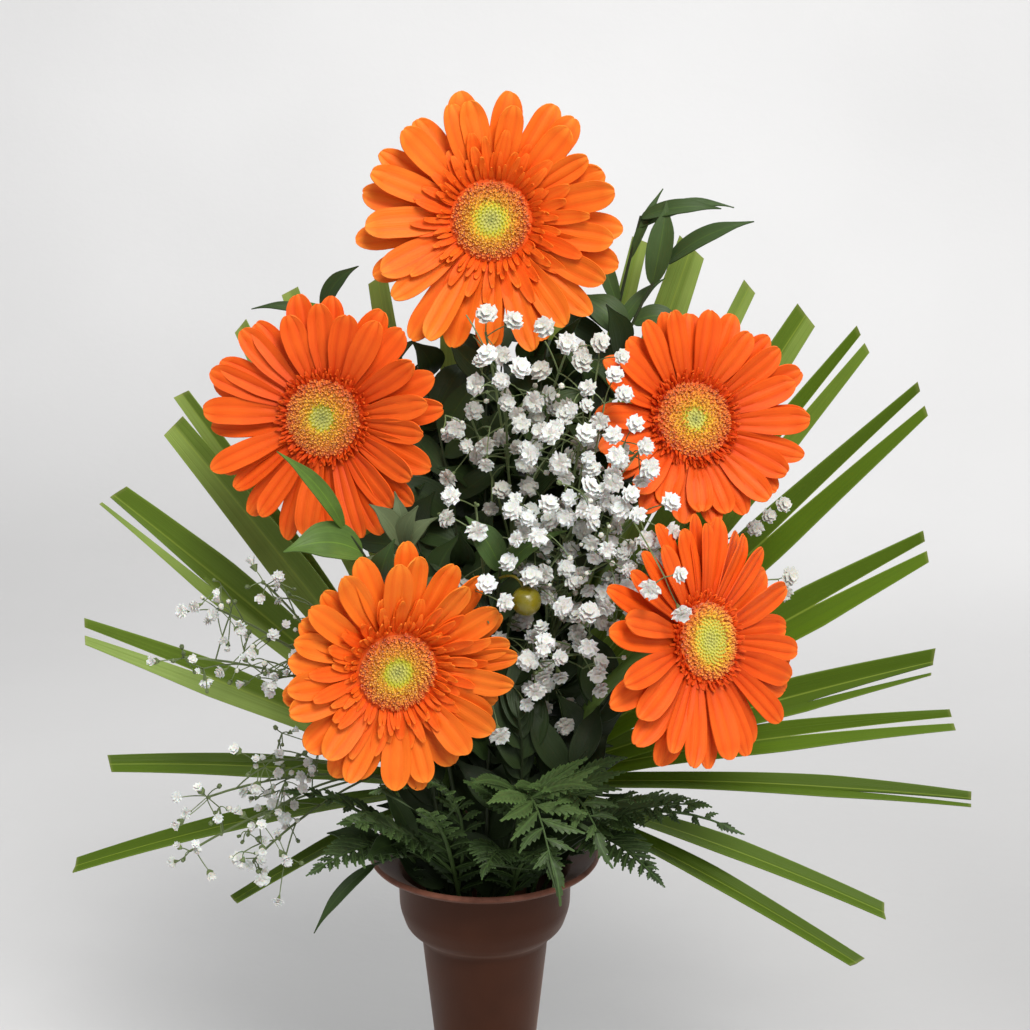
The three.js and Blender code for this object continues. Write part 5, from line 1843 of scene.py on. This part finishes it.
def make_spray(spray, settings, materials):
    """A spray: the solid's florets with many more on fine twigs, each on a stalk of its own."""
    form = start_form()
    random = Random(600 + spray["seed"])
    sources = floret_sources(form)
    stalk = settings.stalk / MM
    place, arc, branches = spray_branches(spray)
    airy = "left" in spray["name"]
    heads = []

    def add_floret(join, at, face, size, kind):
        turn = facing(at, face) @ Matrix.Rotation(random.uniform(0, math.tau), 4, "Z")
        stretch = random.uniform(0.9, 1.15)
        if kind == "double" and random.random() < 0.5:
            kind = "double_turned"
        # Painted shade: florets deep in the spray get a higher tone.
        tone = 0.3 * random.random() + 0.7 * (0 if airy else smooth(at.y, -78, -34))
        grown = Matrix.Diagonal((size, size, size * stretch, 1))
        copy_form(form, sources[kind], turn @ grown, tone)
        foot = at - face * size * (0.8 if "bud" in kind else 0.5)
        calyx = size * {"bud": 0.9, "green_bud": 0.9, "half_open": 0.55}.get(kind, 0.32)
        grown = Matrix.Diagonal((calyx, calyx, size * 0.85, 1))
        copy_form(form, sources["calyx"], facing(foot, face) @ grown, 0.5)
        end = foot - face * size * 0.6
        sway = (random.uniform(-1, 1), random.uniform(-1, 1), random.uniform(-0.5, 2))
        line = [join, join.lerp(end, 0.55) + Vector(sway), end]
        grow_stem(form, trace(line, 4), [stalk * 1.2] * 4 + [stalk], 4, 0.5, 1)
        heads.append((at, size))

    def open_kind():
        return "half_open" if airy and random.random() < 0.6 else "double"

    def is_free(at, size):
        if is_in_bloom(at, size) or hides_something(at, size):
            return False
        return all((at - head).length > 0.86 * (size + other) for head, other in heads)

    for line, join, places in branches:
        for at, face in places:
            size = random.uniform(2.8, 3.7) if airy else random.uniform(4.3, 5.0)
            add_floret(join, at, face, size, open_kind())
    for line, join, _ in branches:
        twigs = [(join, line[2])]
        for t in (0.45, 0.65, 0.82):
            for _ in range(1 if airy else 2):
                start = bezier(line, t)
                out = (random.uniform(-1, 1), random.uniform(-0.9, 0.3), random.uniform(-0.4, 1))
                twig_end = start + Vector(out).normalized() * random.uniform(12, 24)
                twigs.append((start, twig_end))
        for start, end in twigs:
            if (end - start).length > 3:
                bow = start.lerp(end, 0.5) + Vector((0, 0, 2))
                grow_stem(form, trace([start, bow, end], 4), stalk * 1.6, 4, 0.5, 1)
            for _ in range(5 if airy else 6):
                spread = 5.4 if airy else 6.6
                off = (random.gauss(0, spread), random.gauss(-5, 4), random.gauss(0, spread))
                at = end + Vector(off)
                is_bud = random.random() < (0.5 if airy else 0.3)
                sizes = (0.9, 1.4) if is_bud else (2.1, 3.5) if airy else (3.3, 4.6)
                size = random.uniform(*sizes)
                sparse = 0 if airy else 0.65 if at.x < 34 and at.z > 318 else 0.2
                if not is_free(at, size) or random.random() < sparse:
                    continue
                to_front = Vector((0, -0.2 if airy else -0.7, 0.35))
                face = ((at - end).normalized() + to_front).normalized()
                if is_bud and random.random() < (0.75 if airy else 0.4):
                    add_floret(end, at, face, 0.85 * size, "green_bud")
                    continue
                add_floret(end, at, face, size, "bud" if is_bud else open_kind())
    for start, by, end, places in MORE_TWIGS.get(spray["name"], ()):
        end = Vector(end)
        grow_stem(form, trace([Vector(start), Vector(by), end], 10), stalk * 1.6, 4, 0.5, 1)
        for at in map(Vector, places):
            face = (at - end).normalized() + Vector((0, -1.2, 0.3))
            add_floret(end, at, face.normalized(), random.uniform(3.4, 4.6), "double")
    for geom in sources.values():
        bmesh.ops.delete(form, geom=verts_in(geom), context="VERTS")
    for line, _, _ in branches:
        grow_stem(form, trace(line, 8), BREATH["branch"], 5, 0.4, 1)
    grow_stem(form, stem_points(place[0], arc, 16), BREATH["stem"], 7, 0.3, 1)
    bmesh.ops.recalc_face_normals(form, faces=form.faces[:])
    name = spray["name"]
    return finish_piece(form, name + "_florets", materials, [name], sharp=40)


# ---------------------------------------------------------------- stage


# Painted light and shade on the floor and wall: how light the floor is in front, where it turns up
# and on the wall, at the left and at the right.
WALL_TINTS = ((0.92, 0.8, 1.04), (0.66, 0.98, 1.02))
# The stage in metres: the floor's reach to the front and back, its sweep, and the wall's rise.
FLOOR = {"front": 2.2, "end": 0.75, "sweep": 0.9, "wall": 2.4}
CAMERA_AT = (0.0139, -0.8756, 0.5586)
SKY_TINT, SKY_STRENGTH = (0.95, 0.97, 1.0, 1), 0.42


def make_stage(settings):
    """A pale floor that curves up into a wall, soft light and a camera at the photo's angle."""
    form = bmesh.new()
    left, right = (form.verts.new((x, -FLOOR["front"], 0)) for x in (-3, 3))
    edge = form.edges.new((left, right))
    edge = draw_out(form, edge, (0, FLOOR["front"] + FLOOR["end"], 0))
    swept = bmesh.ops.spin(
        form,
        geom=[edge, *edge.verts],
        axis=(1, 0, 0),
        cent=(0, FLOOR["end"], FLOOR["sweep"]),
        angle=math.pi / 2,
        steps=24,
    )["geom_last"]
    edge = next(g for g in swept if isinstance(g, bmesh.types.BMEdge))
    draw_out(form, edge, (0, 0, FLOOR["wall"]))
    bmesh.ops.recalc_face_normals(form, faces=form.faces[:])
    for face in form.faces:
        face.smooth = True
    mesh = bpy.data.meshes.new("floor_and_wall")
    form.to_mesh(mesh)
    form.free()
    material, tree, shader = start_material("pale plaster", **{"Specular IOR Level": 0.2})
    cloud = effect(tree, "mottle", Scale=1.4, Detail=3.0)
    place = node(tree, "ShaderNodeTexCoord").outputs["Object"]
    place = node(tree, "ShaderNodeSeparateXYZ", {0: place}).outputs
    back = between(tree, place[1], 0.0, 1.0, 0.2, 1.5)
    right = between(tree, place[0], 0.0, 1.0, -0.25, 0.3)
    sides = [
        ramp(tree, back, [(at, scaled(settings.wall, by)) for at, by in zip((0, 0.6, 1), row)])
        for row in WALL_TINTS
    ]
    # Painted light and shade: darker on the floor at the front right and where it turns up at the
    # left.
    base = mix(tree, right, *sides)
    base = mix(tree, cloud, base, (0.9, 0.9, 0.9), "MULTIPLY")
    grit = effect(tree, "mottle", Scale=60.0)
    finish_surface(tree, shader, base, between(tree, cloud, 0.8, 0.9), grit, 0.001, 0.15)
    mesh.materials.append(material)
    floor = bpy.data.objects.new("floor_and_wall", mesh)
    bpy.context.scene.collection.objects.link(floor)

    def add_light(name, at, target, size, power, tint):
        lamp = bpy.data.lights.new(name, "AREA")
        lamp.shape, lamp.size, lamp.energy, lamp.color = "DISK", size, power, tint
        holder = bpy.data.objects.new(name, lamp)
        holder.location = at
        holder.rotation_euler = (Vector(target) - Vector(at)).to_track_quat("-Z", "Y").to_euler()
        bpy.context.scene.collection.objects.link(holder)

    add_light("key", (0.4, -1.15, 1.75), (0, 0, 0.33), 0.8, settings.key, (1.0, 0.985, 0.96))
    add_light("fill", (1.0, -1.5, 1.1), (0.05, 0, 0.4), 1.0, settings.fill, (0.97, 0.98, 1.0))
    add_light("wall_wash", (0.6, 0.3, 2.6), (0.1, 1.7, 1.9), 0.9, 34, (1.0, 1.0, 0.985))
    world = bpy.data.worlds.new("soft sky")
    world.use_nodes = True
    background = next(n for n in world.node_tree.nodes if n.type == "BACKGROUND")
    background.inputs["Color"].default_value = SKY_TINT
    background.inputs["Strength"].default_value = SKY_STRENGTH
    scene = bpy.context.scene
    scene.world = world
    scene.view_settings.view_transform = "Standard"
    camera = bpy.data.cameras.new("camera")
    camera.sensor_width, camera.lens = 36, settings.lens
    camera.clip_start, camera.clip_end = 0.02, 20
    holder = bpy.data.objects.new("camera", camera)
    holder.location = CAMERA_AT
    holder.rotation_euler = (math.pi / 2 - settings.pitch, 0, 0)
    scene.collection.objects.link(holder)
    scene.camera = holder


# ---------------------------------------------------------------- operators and panel


class FLOWERS_OT_vase(bpy.types.Operator):
    """Makes the flared vase and dresses the water in it"""

    bl_idname = "flowers.vase"
    bl_label = "Vase and water"

    def execute(self, context):
        make_vase(context.scene.flower_vase)
        dress_water()
        return {"FINISHED"}


class FLOWERS_OT_gerberas(bpy.types.Operator):
    """Makes the five gerberas: petals, disc florets and hairy stems"""

    bl_idname = "flowers.gerberas"
    bl_label = "Gerberas"

    def execute(self, context):
        settings = context.scene.flower_gerberas
        # The third colour is the petals' deep red: their veins, mottling and redder short petals,
        # and the painted shade at their roots and in their grooves.
        orange = petal_material("orange petals", tuple(settings.orange), (0.7, 0.05, 0.003))
        red = petal_material("red-orange petals", tuple(settings.red), (0.46, 0.016, 0.001))
        disc, stem = disc_material(settings), stem_material("hairy stem", tuple(settings.stem))
        for seed, bloom in enumerate(BLOOMS, 1):
            make_rays(bloom, seed, settings, orange if bloom["double"] else red)
            make_disc(bloom, seed, settings, disc)
            make_gerbera_stem(bloom, seed, settings, stem)
        return {"FINISHED"}


class FLOWERS_OT_palm(bpy.types.Operator):
    """Makes the two trimmed palm leaves"""

    bl_idname = "flowers.palm"
    bl_label = "Palm leaves"

    def execute(self, context):
        settings = context.scene.flower_palm
        material = palm_material(settings)
        for seed, leaf in enumerate(PALM_LEAVES, 1):
            make_palm(leaf, settings, material, seed)
        return {"FINISHED"}


class FLOWERS_OT_ferns(bpy.types.Operator):
    """Makes the fern fronds round the mouth of the vase"""

    bl_idname = "flowers.ferns"
    bl_label = "Ferns"

    def execute(self, context):
        settings = context.scene.flower_ferns
        material = fern_material(settings)
        for seed, fern in enumerate(FERNS, 1):
            make_fern(fern, seed, settings, material)
        return {"FINISHED"}


class FLOWERS_OT_leaves(bpy.types.Operator):
    """Makes the leafy stems, the grey-green sprig and the berry"""

    bl_idname = "flowers.leaves"
    bl_label = "Leafy stems and berry"

    def execute(self, context):
        settings = context.scene.flower_leaves
        ruscus = leaf_material("ruscus leaf", tuple(settings.ruscus), 0.36, (0.18, 0.32, 0.03))
        sprig = leaf_material("grey-green leaf", tuple(settings.sprig), 0.45, (0.32, 0.36, 0.16))
        bark = stem_material("leafy stem", (0.022, 0.034, 0.009))
        for seed, stem in enumerate(LEAFY_STEMS, 1):
            make_leafy(stem, seed, settings, ruscus, bark, settings.deep_leaves)
        make_leafy(SPRIG, 20, settings, sprig, bark, 0)
        make_berry(settings)
        return {"FINISHED"}


class FLOWERS_OT_breath(bpy.types.Operator):
    """Makes the sprays of baby's breath"""

    bl_idname = "flowers.breath"
    bl_label = "Baby's breath"

    def execute(self, context):
        settings = context.scene.flower_breath
        materials = [floret_material(settings), stem_material("thin stalks", tuple(settings.green))]
        for spray in SPRAYS:
            make_spray(spray, settings, materials)
        return {"FINISHED"}


class FLOWERS_OT_stage(bpy.types.Operator):
    """Makes the floor, the lights and the camera"""

    bl_idname = "flowers.stage"
    bl_label = "Stage"

    def execute(self, context):
        make_stage(context.scene.flower_stage)
        return {"FINISHED"}


class FLOWERS_PT_panel(bpy.types.Panel):
    """Lists the bunch's pieces and their settings"""

    bl_label = "Gerberas in a vase"
    bl_idname = "FLOWERS_PT_panel"
    bl_space_type = "VIEW_3D"
    bl_region_type = "UI"
    bl_category = "Flowers"

    def draw(self, context):
        for (name, group), operator in zip(SETTINGS.items(), OPERATORS):
            box = self.layout.box()
            box.operator(operator.bl_idname)
            for key in group.__annotations__:
                box.prop(getattr(context.scene, name), key)


OPERATORS = (
    FLOWERS_OT_vase,
    FLOWERS_OT_gerberas,
    FLOWERS_OT_palm,
    FLOWERS_OT_ferns,
    FLOWERS_OT_leaves,
    FLOWERS_OT_breath,
    FLOWERS_OT_stage,
)


def register():
    for group in (*SETTINGS.values(), *OPERATORS, FLOWERS_PT_panel):
        bpy.utils.register_class(group)
    for name, group in SETTINGS.items():
        setattr(bpy.types.Scene, name, PointerProperty(type=group))


def unregister():
    for name in SETTINGS:
        delattr(bpy.types.Scene, name)
    for group in (FLOWERS_PT_panel, *reversed(OPERATORS), *reversed(SETTINGS.values())):
        bpy.utils.unregister_class(group)


def main():
    register()
    for operator in OPERATORS:
        family, name = operator.bl_idname.split(".")
        getattr(getattr(bpy.ops, family), name)()


if __name__ == "__main__":
    main()
